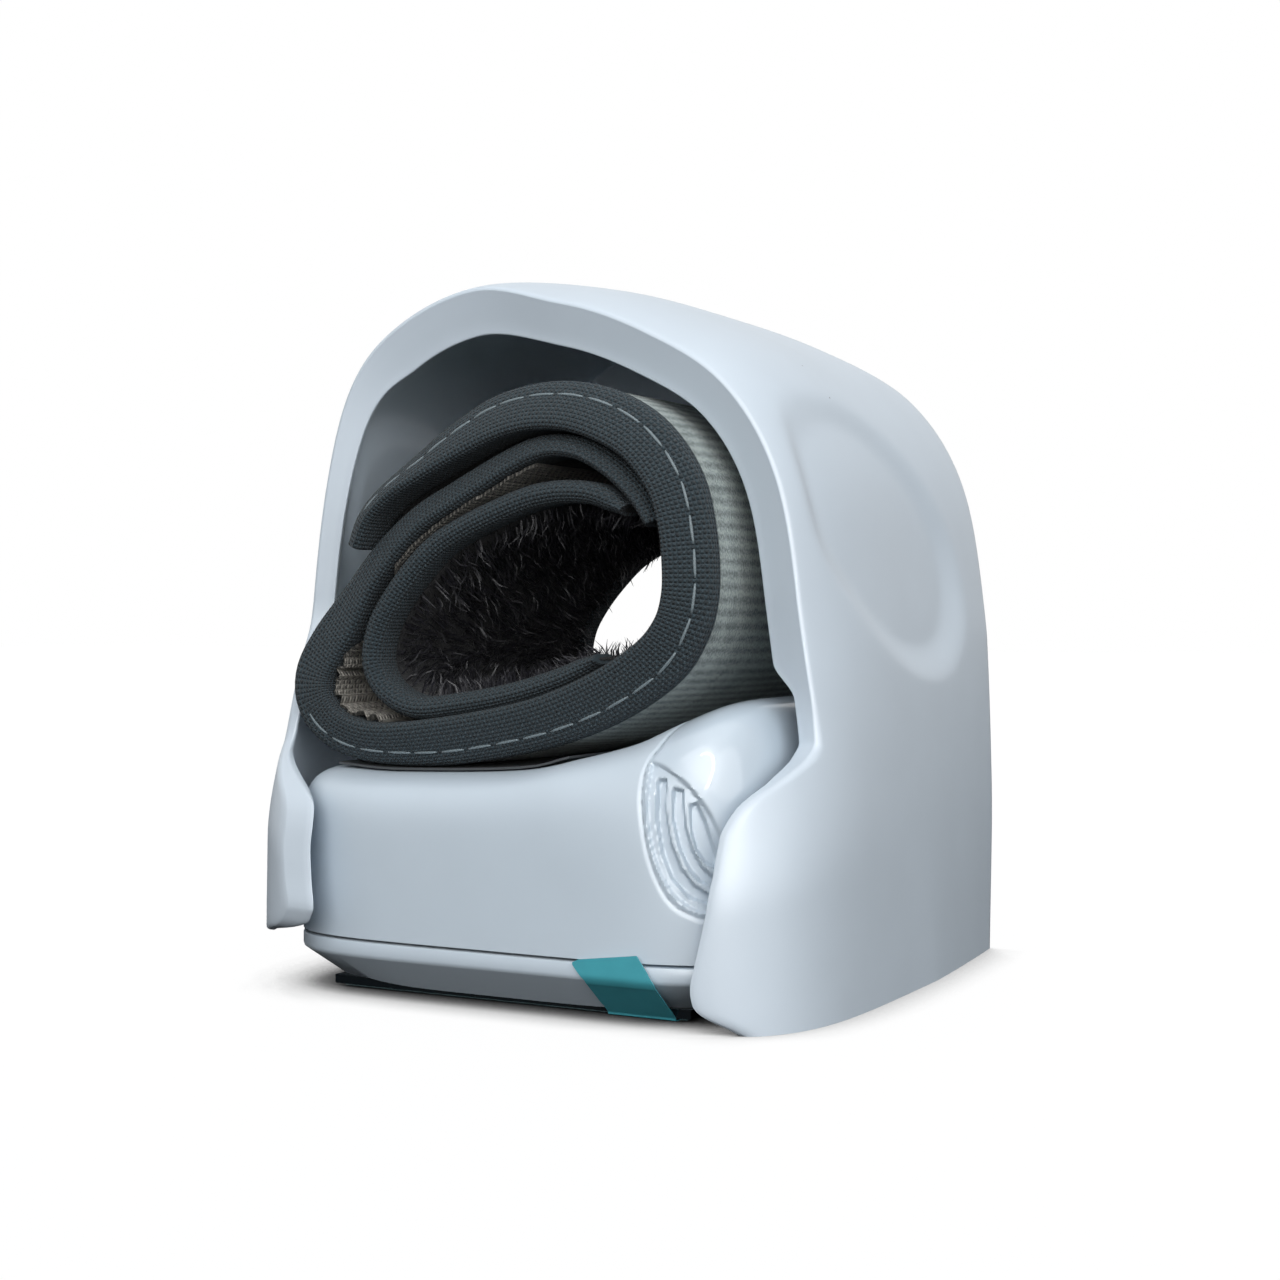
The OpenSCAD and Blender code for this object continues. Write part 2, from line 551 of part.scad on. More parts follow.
// Thin mesh that covers the strip's inner side in the gap beside the lining.
mesh_path = spline([
    [-21.6, 37.4, 0.25], [-26.6, 38.5, 0.25], [-29.4, 40.6, 0.25], [-29.9, 43.4, 0.25], [-28.1, 46.8, 0.25],
    [-25.5, 50.7, 0.25], [-22.9, 55.2, 0.25], [-19.4, 59.5, 0.25], [-15, 63.2, 0.25], [-9.3, 66.6, 0.25],
    [-4.6, 68.9, 0.25], [-0.4, 71, 0.25], [3.4, 72.3, 0.25]], 4);
bladder_span = [20, 86];
curler_span = [14, 92];

// Point i of a path, moved outwards by f half thicknesses and d more.
function beside(path, i, f, d) = let (n = len(path), v = path[min(i + 1, n - 1)] - path[max(i - 1, 0)])
    [path[i][0], path[i][1]] - (f * path[i][2] + d) * side_of(unit([v[0], v[1]]));
module band(path, span, outside, inside) {
    polygon(concat([for (i = [span[0] : span[1]]) beside(path, i, outside[0], outside[1])],
        [for (i = [span[1] : -1 : span[0]]) beside(path, i, inside[0], inside[1])]));
}
function whole(path) = [0, len(path) - 1];
cuff_back = cuff_front + cuff_w;
module cuff_cover() {
    color(binding_grey) difference() {
        along_y(cuff_front, cuff_back) band(cuff_path, whole(cuff_path), [1, 0], [-1, 0]);
        along_y(cuff_front + 4, cuff_back - 4) band(cuff_path, [12, 100], [1, -cover_t], [-1, cover_t]);
        translate([tube_hole[0], tube_hole[1], 30]) cylinder(d = 4.4, h = 4.5);
    }
}
module cuff_bladder() {
    color(dark_grey) difference() {
        along_y(cuff_front + 6, cuff_back - 6)
            band(cuff_path, bladder_span, [1, -cover_t - 0.05], [1, -cover_t - 0.05 - bladder_t]);
        translate([tube_hole[0], tube_hole[1], 30]) cylinder(d = 4.4, h = 4.5);
    }
}
module cuff_curler() {
    color("#c9c9c2") along_y(cuff_front + 5, cuff_back - 5)
        band(cuff_path, curler_span, [-1, cover_t + 0.05 + curler_t], [-1, cover_t + 0.05]);
}
module cuff_lining() {
    color("#15171b") along_y(cuff_front + 0.8, cuff_back - 0.8)
        band(lining_path, whole(lining_path), [1, 0], [-1, 0]);
}
module cuff_mesh() {
    color("#8f8b84") along_y(cuff_front + 1.6, cuff_back - 1.6) band(mesh_path, whole(mesh_path), [1, 0], [-1, 0]);
}

storage_cover();
rear_housing();
front_bezel();
display_lens();
lcd_panel();
contact_strips();
screen_film();
start_button();
memory_button();
set_button();
button_mat();
circuit_board();
pump_motor();
pump_head();
release_valve();
pressure_sensor();
air_tube();
air_nipple();
beeper();
battery_cover();
battery_lower();
battery_upper();
battery_springs();
battery_plates();
board_screws();
cuff_plate();
cuff_cover();
cuff_bladder();
cuff_curler();
cuff_lining();
cuff_mesh();
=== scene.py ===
import bpy, bmesh, math
import numpy as np
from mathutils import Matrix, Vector


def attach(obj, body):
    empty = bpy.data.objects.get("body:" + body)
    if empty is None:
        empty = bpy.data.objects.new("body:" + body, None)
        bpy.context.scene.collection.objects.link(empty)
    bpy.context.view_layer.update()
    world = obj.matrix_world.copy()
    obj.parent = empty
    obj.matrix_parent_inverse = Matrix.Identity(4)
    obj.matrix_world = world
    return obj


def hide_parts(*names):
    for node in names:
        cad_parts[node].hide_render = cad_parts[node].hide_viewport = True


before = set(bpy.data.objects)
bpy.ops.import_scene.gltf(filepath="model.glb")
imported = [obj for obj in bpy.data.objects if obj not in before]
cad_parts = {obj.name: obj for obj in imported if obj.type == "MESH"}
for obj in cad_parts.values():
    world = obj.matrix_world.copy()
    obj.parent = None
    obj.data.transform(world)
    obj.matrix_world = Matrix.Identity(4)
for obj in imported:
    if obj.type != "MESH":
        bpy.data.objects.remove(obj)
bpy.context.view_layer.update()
mm = 0.001
print("stage: frame loaded,", len(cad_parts), "nodes")

# camera: the photograph's own viewpoint, in millimetres and degrees
cameraSettings = {
    "place": (142.58, -256.94, 51.23), "turn": 28.2, "down": 0.516,
    "focalPx": 2000, "framePx": 1280, "sensorMm": 36, "clip": (0.01, 20),   # clip in metres
}

def makeCamera():
    s = cameraSettings
    data = bpy.data.cameras.new("photoCamera")
    data.sensor_width = s["sensorMm"]
    data.lens = s["sensorMm"] * s["focalPx"] / s["framePx"]
    data.clip_start, data.clip_end = s["clip"]
    cam = bpy.data.objects.new("photoCamera", data)
    bpy.context.scene.collection.objects.link(cam)
    a, p = math.radians(s["turn"]), math.radians(s["down"])
    look = Vector((-math.sin(a) * math.cos(p), math.cos(a) * math.cos(p), -math.sin(p)))
    cam.location = Vector(s["place"]) * mm
    cam.rotation_mode = "QUATERNION"
    cam.rotation_quaternion = look.to_track_quat("-Z", "Y")
    bpy.context.scene.camera = cam

makeCamera()

# colour and node helpers
def hexColour(code):
    rgb = [int(code[i:i + 2], 16) / 255 for i in (1, 3, 5)]
    return [c / 12.92 if c <= 0.04045 else ((c + 0.055) / 1.055) ** 2.4 for c in rgb] + [1]

# a link comes from a socket, or from a node's first output
def socketOf(source):
    return getattr(source, "outputs", [source])[0]

def addNode(tree, kind, settings=None, links=None):
    node = tree.nodes.new("ShaderNode" + kind)
    for key, value in (settings or {}).items():
        if isinstance(key, str) and hasattr(node, key):
            setattr(node, key, value)
        else:
            node.inputs[key].default_value = value
    for key, source in (links or {}).items():
        tree.links.new(socketOf(source), node.inputs[key])
    return node

def newMaterial(name, settings):
    mat = bpy.data.materials.new(name)
    mat.use_nodes = True
    tree = mat.node_tree
    shader = tree.nodes["Principled BSDF"]
    for key, value in settings.items():
        shader.inputs[key].default_value = value
    return mat, tree, shader

def rampStops(node, stops):
    ramp = node.color_ramp
    while len(ramp.elements) > 2:
        ramp.elements.remove(ramp.elements[-1])
    for i, (at, colour) in enumerate(stops):
        e = ramp.elements[i] if i < 2 else ramp.elements.new(at)
        e.position, e.color = at, colour
    return node

# ends a material: its colour, and a relief of the given height in millimetres
def joinSurface(tree, shader, colour, relief, strength, heightMm):
    bump = addNode(tree, "Bump", {"Strength": strength, "Distance": heightMm * mm}, {"Height": relief})
    tree.links.new(socketOf(colour), shader.inputs["Base Color"])
    tree.links.new(bump.outputs["Normal"], shader.inputs["Normal"])

# injection-moulded ABS: even satin colour, fine spark-eroded grain, a few dust specks
def mouldedPlastic(name, colour, roughness, grainMm, grainDepth, specks=0.0):
    mat, tree, shader = newMaterial(name, {"Roughness": roughness, "IOR": 1.54, "Coat Roughness": 0.06})
    mottleMm, speckCellMm, speckColour = 14, 4.2, "#5d6468"
    place = addNode(tree, "TexCoord").outputs["Object"]
    tone = addNode(tree, "TexNoise", {"Scale": 1 / (mottleMm * mm), "Detail": 2.0}, {"Vector": place})
    base = hexColour(colour)
    stops = [(0.3, [c * 0.965 for c in base[:3]] + [1]), (0.7, base)]
    mottled = rampStops(addNode(tree, "ValToRGB", {}, {"Fac": tone}), stops).outputs["Color"]
    if specks:
        cells = addNode(tree, "TexVoronoi", {"Scale": 1 / (speckCellMm * mm)}, {"Vector": place})
        stops = [(0.028, (1, 1, 1, 1)), (0.04, (0, 0, 0, 1))]
        dot = rampStops(addNode(tree, "ValToRGB", {}, {"Fac": cells.outputs["Distance"]}), stops)
        split = addNode(tree, "SeparateColor", {}, {"Color": cells.outputs["Color"]})
        # only a few cells show their speck
        pick = addNode(tree, "Math", {"operation": "GREATER_THAN", 1: 1 - specks}, {0: split.outputs["Red"]})
        amount = addNode(tree, "Math", {"operation": "MULTIPLY"}, {0: dot, 1: pick})
        mix = addNode(tree, "Mix", {"data_type": "RGBA", 7: hexColour(speckColour)}, {0: amount, 6: mottled})
        mottled = mix.outputs[2]
    grain = addNode(tree, "TexNoise", {"Scale": 1 / (grainMm * mm), "Detail": 3.0}, {"Vector": place})
    joinSurface(tree, shader, mottled, grain, grainDepth, 0.05)
    return mat

# gloss only on the dome: the recess with the grip channels stays satin
def glossOverDome(mat, weight, line, fade):
    tree = mat.node_tree
    place = addNode(tree, "TexCoord")
    axes = addNode(tree, "SeparateXYZ", {}, {0: place.outputs["Object"]})
    (x0, z0), (x1, z1) = line
    long = math.hypot(x1 - x0, z1 - z0)
    across = ((z0 - z1) / long, (x1 - x0) / long)
    # millimetres from the line towards the dome's top, in the view from the front
    side = addNode(tree, "Math", {"operation": "MULTIPLY_ADD", 1: across[0] / mm,
                                  2: -(across[0] * x0 + across[1] * z0)}, {0: axes.outputs["X"]})
    reach = addNode(tree, "Math", {"operation": "MULTIPLY_ADD", 1: across[1] / mm},
                    {0: axes.outputs["Z"], 2: side})
    level = addNode(tree, "MapRange", {1: fade[0], 2: fade[1], 3: 0.0, 4: weight}, {0: reach})
    tree.links.new(level.outputs[0], tree.nodes["Principled BSDF"].inputs["Coat Weight"])

# woven polyester: a plain weave in the piece's own millimetres, so that its threads turn with the strip
def wovenCloth(name, darkThreadAndHoleShadeColour, lightThreadAndGlintColour, threadMm, roughness, depth):
    mat, tree, shader = newMaterial(name, {"Roughness": roughness, "IOR": 1.5, "Specular IOR Level": 0.3,
                                           "Sheen Weight": 0.06, "Sheen Roughness": 0.5})
    uv = addNode(tree, "UVMap", {"uv_map": "mmMap"})
    axes = addNode(tree, "SeparateXYZ", {}, {0: uv})
    waves = []
    for axis, phase in (("X", 0), ("Y", math.pi / 2)):
        scaled = addNode(tree, "Math", {"operation": "MULTIPLY_ADD", 1: math.pi / threadMm, 2: phase},
                         {0: axes.outputs[axis]})
        waves.append(addNode(tree, "Math", {"operation": "SINE"}, {0: scaled}))
    cross = addNode(tree, "Math", {"operation": "MULTIPLY"}, {0: waves[0], 1: waves[1]})
    height = addNode(tree, "Math", {"operation": "ABSOLUTE"}, {0: cross})
    over = addNode(tree, "Math", {"operation": "MULTIPLY_ADD", 1: 0.5, 2: 0.5}, {0: cross})
    fuzz = addNode(tree, "TexNoise", {"Scale": 1.3 / threadMm, "Detail": 3.0}, {"Vector": uv})
    blend = addNode(tree, "Math", {"operation": "MULTIPLY_ADD", 1: 0.7}, {0: over, 2: fuzz})
    # the two colours alternate with the thread that lies over: on the tape the lighter one is a painted glint
    # on near-black threads, on the spacer mesh the darker one is painted shade in the holes over the dark
    # fabric behind
    stops = [(0.25, hexColour(darkThreadAndHoleShadeColour)), (0.95, hexColour(lightThreadAndGlintColour))]
    ramp = rampStops(addNode(tree, "ValToRGB", {}, {"Fac": blend}), stops)
    total = addNode(tree, "Math", {"operation": "MULTIPLY_ADD", 1: 0.25}, {0: fuzz, 2: height})
    joinSurface(tree, shader, ramp, total, depth, threadMm * 0.35)
    return mat

# napped or looped pile: mottled tone, and soft rows across the strip where rowMm gives their spacing
def brushedCloth(name, dark, light, tuftMm, roughness, depth, rowMm=0.0):
    mat, tree, shader = newMaterial(name, {"Roughness": roughness, "IOR": 1.5, "Specular IOR Level": 0.25,
                                           "Sheen Weight": 0.12, "Sheen Roughness": 0.6})
    uv = addNode(tree, "UVMap", {"uv_map": "mmMap"})
    fine = addNode(tree, "TexNoise", {"Scale": 1 / tuftMm, "Detail": 4.0}, {"Vector": uv})
    broad = addNode(tree, "TexNoise", {"Scale": 0.12 / tuftMm, "Detail": 2.0}, {"Vector": uv})
    tone = addNode(tree, "Math", {"operation": "MULTIPLY_ADD", 1: 0.45}, {0: broad, 2: fine})
    if rowMm:
        axes = addNode(tree, "SeparateXYZ", {}, {0: uv})
        turn = addNode(tree, "Math", {"operation": "MULTIPLY", 1: 2 * math.pi / rowMm},
                       {0: axes.outputs["X"]})
        row = addNode(tree, "Math", {"operation": "SINE"}, {0: turn})
        tone = addNode(tree, "Math", {"operation": "MULTIPLY_ADD", 1: 0.11}, {0: row, 2: tone})
    stops = [(0.5, hexColour(dark)), (0.95, hexColour(light))]
    ramp = rampStops(addNode(tree, "ValToRGB", {}, {"Fac": tone}), stops)
    joinSurface(tree, shader, ramp, tone, depth, 0.25)
    return mat

# any plain finish: tone and relief follow one fine noise, the tone by the share in spread
def plainFinish(name, colour, settings, grainMm, depth, spread=0.06):
    mat, tree, shader = newMaterial(name, settings)
    place = addNode(tree, "TexCoord").outputs["Object"]
    noise = addNode(tree, "TexNoise", {"Scale": 1 / (grainMm * mm), "Detail": 3.0}, {"Vector": place})
    base = hexColour(colour)[:3]
    stops = [(0.3, [c * (1 - spread) for c in base] + [1]),
             (0.7, [min(1, c * (1 + spread)) for c in base] + [1])]
    ramp = rampStops(addNode(tree, "ValToRGB", {}, {"Fac": noise}), stops)
    joinSurface(tree, shader, ramp, noise, depth, 0.03)
    return mat

finishes = {
    # satin shells; the eroded grain is drawn at 0.16 mm, coarser than the real one, so that it shows
    "cover": mouldedPlastic("mouldedAbsCover", "#c9d5e0", 0.42, 0.16, 0.10, specks=0.035),
    "housing": mouldedPlastic("mouldedAbsHousing", "#c1ced9", 0.40, 0.16, 0.08, specks=0.02),
    "door": mouldedPlastic("polishedAbsDoor", "#bccad6", 0.42, 0.3, 0.03),   # glossier, see glossOverDome
    # near-black tape with a painted glint along its threads in the lighter colour; the threads are drawn at
    # 0.6 mm to show, about twice the real
    "tape": wovenCloth("polyesterBindingTape", "#070c10", "#2a3a42", 0.6, 0.75, 1.6),
    "thread": plainFinish("spunPolyesterThread", "#66747a", {"Roughness": 0.6, "IOR": 1.5,
                          "Sheen Weight": 0.3}, 0.2, 0.3),     # matt, lighter than the tape
    # napped loops: a soft mid grey in rows; the plush is dark, with fine fibres that catch the light
    "loops": brushedCloth("brushedLoopFabric", "#5f6a69", "#a6b0ae", 0.35, 0.9, 0.8, rowMm=1.5),
    "pileBase": brushedCloth("plushBacking", "#050608", "#15171d", 0.6, 0.95, 1.0),
    "fibre": plainFinish("acrylicPileFibre", "#1b1b22",
                         {"Roughness": 0.5, "IOR": 1.5, "Specular IOR Level": 0.4, "Sheen Weight": 0.1,
                          "Sheen Roughness": 0.35}, 0.8, 0.1, 0.35),
    # knitted spacer mesh: pale threads, and between them holes in a dark colour that is painted shade over the
    # dark fabric behind
    "meshCloth": wovenCloth("spacerMeshFabric", "#2b2b2a", "#a09c94", 0.7, 0.8, 1.2),
    # clear films: a sharp sheen, and the colour of what lies below
    "film": plainFinish("tintedPetFilm", "#4fadbb", {"Roughness": 0.16, "IOR": 1.57, "Alpha": 0.86,
                        "Coat Weight": 0.6}, 3.0, 0.05, 0.04),
    "clearFilm": plainFinish("clearPetFilm", "#9fc4ca", {"Roughness": 0.12, "IOR": 1.57, "Alpha": 0.35,
                             "Coat Weight": 0.5}, 3.0, 0.05, 0.03),
    "lens": plainFinish("smokedAcrylicLens", "#0e1418", {"Roughness": 0.06, "IOR": 1.49, "Coat Weight": 0.4},
                        5.0, 0.0, 0.02),     # dark mirror
    "lcd": plainFinish("lcdGlass", "#8d9888", {"Roughness": 0.2, "IOR": 1.52}, 2.0, 0.02, 0.03),
    "button": mouldedPlastic("mouldedAbsButtons", "#a5b9c8", 0.34, 0.2, 0.06),
    # inside: soft rubber, lacquered board, dull filled nylon, plated steel, sleeved cells and two sheets
    "silicone": plainFinish("siliconeRubber", "#d4d8d5", {"Roughness": 0.55, "IOR": 1.41,
                            "Subsurface Weight": 0.05}, 0.5, 0.15),
    "board": plainFinish("fr4SolderMask", "#2c6e48", {"Roughness": 0.38, "IOR": 1.55, "Coat Weight": 0.3},
                         0.8, 0.25, 0.12),
    "darkNylon": plainFinish("glassFilledNylon", "#2f3438", {"Roughness": 0.6, "IOR": 1.53}, 0.3, 0.25, 0.12),
    "steel": plainFinish("nickelPlatedSteel", "#c4c6c8", {"Roughness": 0.28, "Metallic": 1.0},
                         0.25, 0.12, 0.08),
    "cell": plainFinish("printedCellSleeve", "#262c31", {"Roughness": 0.25, "IOR": 1.55, "Coat Weight": 0.5},
                        1.5, 0.05, 0.1),
    "bladder": plainFinish("tpuBladderSheet", "#3a4045", {"Roughness": 0.45, "IOR": 1.5}, 0.6, 0.2, 0.1),
    "curler": plainFinish("polypropyleneSheet", "#cfcfc8", {"Roughness": 0.4, "IOR": 1.49}, 0.7, 0.1, 0.04),
}
glossOverDome(finishes["door"], 0.8, ((23.9, 33.6), (33.8, 24.4)), (2.0, 3.2))
print("stage: materials made,", len(finishes))

# shape helpers, all in millimetres until meshFrom turns them to metres
def smooth(t):
    c = np.clip(t, 0, 1)
    return c * c * (3 - 2 * c)

# the value at a given share of the way between two others
def between(pair, share):
    return pair[0] + (pair[1] - pair[0]) * share

# smooth curve through the points, with the same number of steps from each to the next
def splinePoints(points, steps):
    p = np.array(points, float)
    p = np.vstack([2 * p[0] - p[1], p, 2 * p[-1] - p[-2]])
    out = []
    for a, b, c, d in zip(p, p[1:], p[2:], p[3:]):
        for k in range(steps):
            t = k / steps
            out.append(0.5 * (2 * b + (c - a) * t + (2 * a - 5 * b + 4 * c - d) * t * t
                              + (3 * b - a - 3 * c + d) * t ** 3))
    return np.array(out + [p[-2]])

def lengthsAlong(p):
    return np.concatenate([[0], np.cumsum(np.linalg.norm(np.diff(p[:, :2], axis=0), axis=1))])

def resample(p, at):
    d = lengthsAlong(p)
    return np.stack([np.interp(at, d, p[:, k]) for k in range(p.shape[1])], 1)

def rightSide(p):
    v = np.gradient(p[:, :2], axis=0)
    v /= np.linalg.norm(v, axis=1)[:, None] + 1e-12
    return np.stack([v[:, 1], -v[:, 0]], 1)

def meshFrom(name, verts, faces, mat, uvs=None, smoothFaces=True):
    data = bpy.data.meshes.new(name)
    data.from_pydata([tuple(v) for v in np.asarray(verts) * mm], [], faces)
    if uvs is not None:
        layer = data.uv_layers.new(name="mmMap")
        index = np.zeros(len(data.loops), int)
        data.loops.foreach_get("vertex_index", index)
        layer.data.foreach_set("uv", np.asarray(uvs, float)[index].ravel())
    obj = bpy.data.objects.new(name, data)
    bpy.context.scene.collection.objects.link(obj)
    data.materials.append(mat)
    data.polygons.foreach_set("use_smooth", [smoothFaces] * len(data.polygons))
    data.update()
    return obj

def gridFaces(rows, cols, closeCols=False):
    faces = []
    for a in range(0, (rows - 1) * cols, cols):
        b = a + cols
        for c in range(cols if closeCols else cols - 1):
            d = (c + 1) % cols
            faces.append((a + c, a + d, b + d, b + c))
    return faces

def faceOutwards(obj):
    bm = bmesh.new()
    bm.from_mesh(obj.data)
    bmesh.ops.recalc_face_normals(bm, faces=bm.faces)
    bm.to_mesh(obj.data)
    bm.free()

def addModifier(obj, kind, settings):
    m = obj.modifiers.new(kind.lower(), kind)
    for key, value in settings.items():
        setattr(m, key, value)
    return m

def applyModifiers(obj):
    bpy.context.view_layer.update()
    made = bpy.data.meshes.new_from_object(obj.evaluated_get(bpy.context.evaluated_depsgraph_get()))
    obj.modifiers.clear()
    obj.data = made

# rounds every edge where faces meet at more than the given angle
def roundEdges(obj, width, degrees):
    addModifier(obj, "BEVEL", {"width": width * mm, "segments": 2, "limit_method": "ANGLE",
                               "angle_limit": math.radians(degrees)})

# straight solid between two levels along Z or Y, with the outline as its ends
def prism(name, outline, low, high, axis="Z"):
    n = len(outline)
    verts = [(a, b, d) if axis == "Z" else (a, d, b) for d in (low, high) for a, b in outline]
    ends = [tuple(range(n)), tuple(reversed(range(n, 2 * n)))]
    if axis == "Z":
        ends = [end[::-1] for end in ends]
    faces = ends + gridFaces(2, n, closeCols=True)
    obj = meshFrom(name, verts, faces, finishes["housing"], smoothFaces=False)
    faceOutwards(obj)
    return obj

def cutWith(obj, cutter, operation="DIFFERENCE", solver="EXACT"):
    addModifier(obj, "BOOLEAN", {"object": cutter, "operation": operation, "solver": solver})
    applyModifiers(obj)
    bpy.data.objects.remove(cutter)

# shows a sharp crease only where faces meet at more than the given angle
def creaseAt(obj, degrees):
    bm = bmesh.new()
    bm.from_mesh(obj.data)
    for e in bm.edges:
        e.smooth = not (len(e.link_faces) == 2 and e.calc_face_angle(0) > math.radians(degrees))
    for f in bm.faces:
        f.smooth = True
    bm.to_mesh(obj.data)
    bm.free()

# storage cover: one skin with a folded-in front flange, wings and finger dimples
coverSettings = {
    "wall": 2.3, "rimY": -19.0, "rearY": 46.0,
    "reach": 62.0, "middle": 20.0, "crownPower": 4.0,      # how the skin draws in towards both ends
    "footReach": 57.5, "footPower": 6.0, "rearTaper": 0.053,
    "sideTuck": 1.1, "topTuck": (0.66, 1.02), "rimSide": 3.9, "rimTop": 7.2, "rimDepth": 2.4, "footLift": 9.0,
    "dimple": 1.6, "dimpleMiddle": (8, 63), "dimpleSize": (27, 16), "dimpleTurn": -27.5,
    "edgeRound": 0.5, "wingRound": 0.85, "cornerRound": 0.4,
    "rearOpen": 86.0,    # height of the rear opening, above which a wall closes the arch
    "rimSlope": 0.3,     # the flange leans back towards its inner edge
    # the front view, and then each wing's front edge as (height, depth)
    "outline": [(-45.5, 0), (-45, 24.5), (-44.2, 50.8), (-41.1, 73.3), (-36, 88.3), (-27, 96.6), (-13, 101.1),
                (3, 99.7),
                (17, 94.8), (30, 86.9), (38.5, 74), (42.3, 55), (44.2, 28), (45.2, 0)],
    "leftWing": [(0, -33.5), (3, -37.4), (8, -38.9), (16, -38.9), (25, -38.3), (30, -37.6), (32.5, -36.2),
                 (34, -33), (35.5, -29), (37, -26.6), (42, -25.4), (46, -24), (49, -21.6), (52, -19.5),
                 (55, -19), (60, -19)],
    "leftFlange": 8.0,   # the left wing's own inward flange, wider than the rim above it
    "rightWing": [(0, -33.4), (3, -35.6), (6.4, -36.1), (11.9, -35.9), (21, -35.2), (25.5, -34.4),
                  (28.6, -33.6), (30.8, -32.7), (33.1, -30.4), (34.2, -26.2), (36.2, -20.4), (40, -19),
                  (60, -19)],
}

# where a point of the front view lies at depth y
def coverPoint(p, y):
    s = coverSettings
    def crown(reach, power):
        return 1 - (1 - np.minimum(1, np.abs(y - s["middle"]) / reach) ** power) ** (1 / power)
    t = crown(s["reach"], s["crownPower"])
    foot = np.where(p[..., 0] > 0, crown(s["footReach"], s["footPower"]), t)
    high = np.where(p[..., 0] > 0, smooth((p[..., 1] - 18) / 38), smooth((p[..., 1] - 24) / 34))
    rear = s["rearTaper"] * np.maximum(0, 1 - p[..., 1] / 50) * np.maximum(0, (y - 14) / 32) ** 1.2
    x = p[..., 0] * (1 - foot * (1 - high) - t * (1 + s["sideTuck"]) * high - rear)
    z = p[..., 1] * (1 - t * between(s["topTuck"], smooth((p[..., 0] + 13) / 16)))
    # finger dimples
    a = math.radians(s["dimpleTurn"])
    dy, dz = y - s["dimpleMiddle"][0], z - s["dimpleMiddle"][1]
    along, across = dy * math.cos(a) + dz * math.sin(a), dz * math.cos(a) - dy * math.sin(a)
    r = np.hypot(along / s["dimpleSize"][0], across / s["dimpleSize"][1])
    hollow = s["dimple"] * smooth((1.1 - r) / 0.32) * smooth((np.abs(x) - 18) / 10)
    hollow = hollow * smooth((y - s["rimY"] - s["rimDepth"]) / 5)
    return np.stack([x - np.sign(x) * hollow, y, z], -1)

def quarterTurn(degrees):
    return 1 - math.cos(math.radians(degrees)), 1 - math.sin(math.radians(degrees))

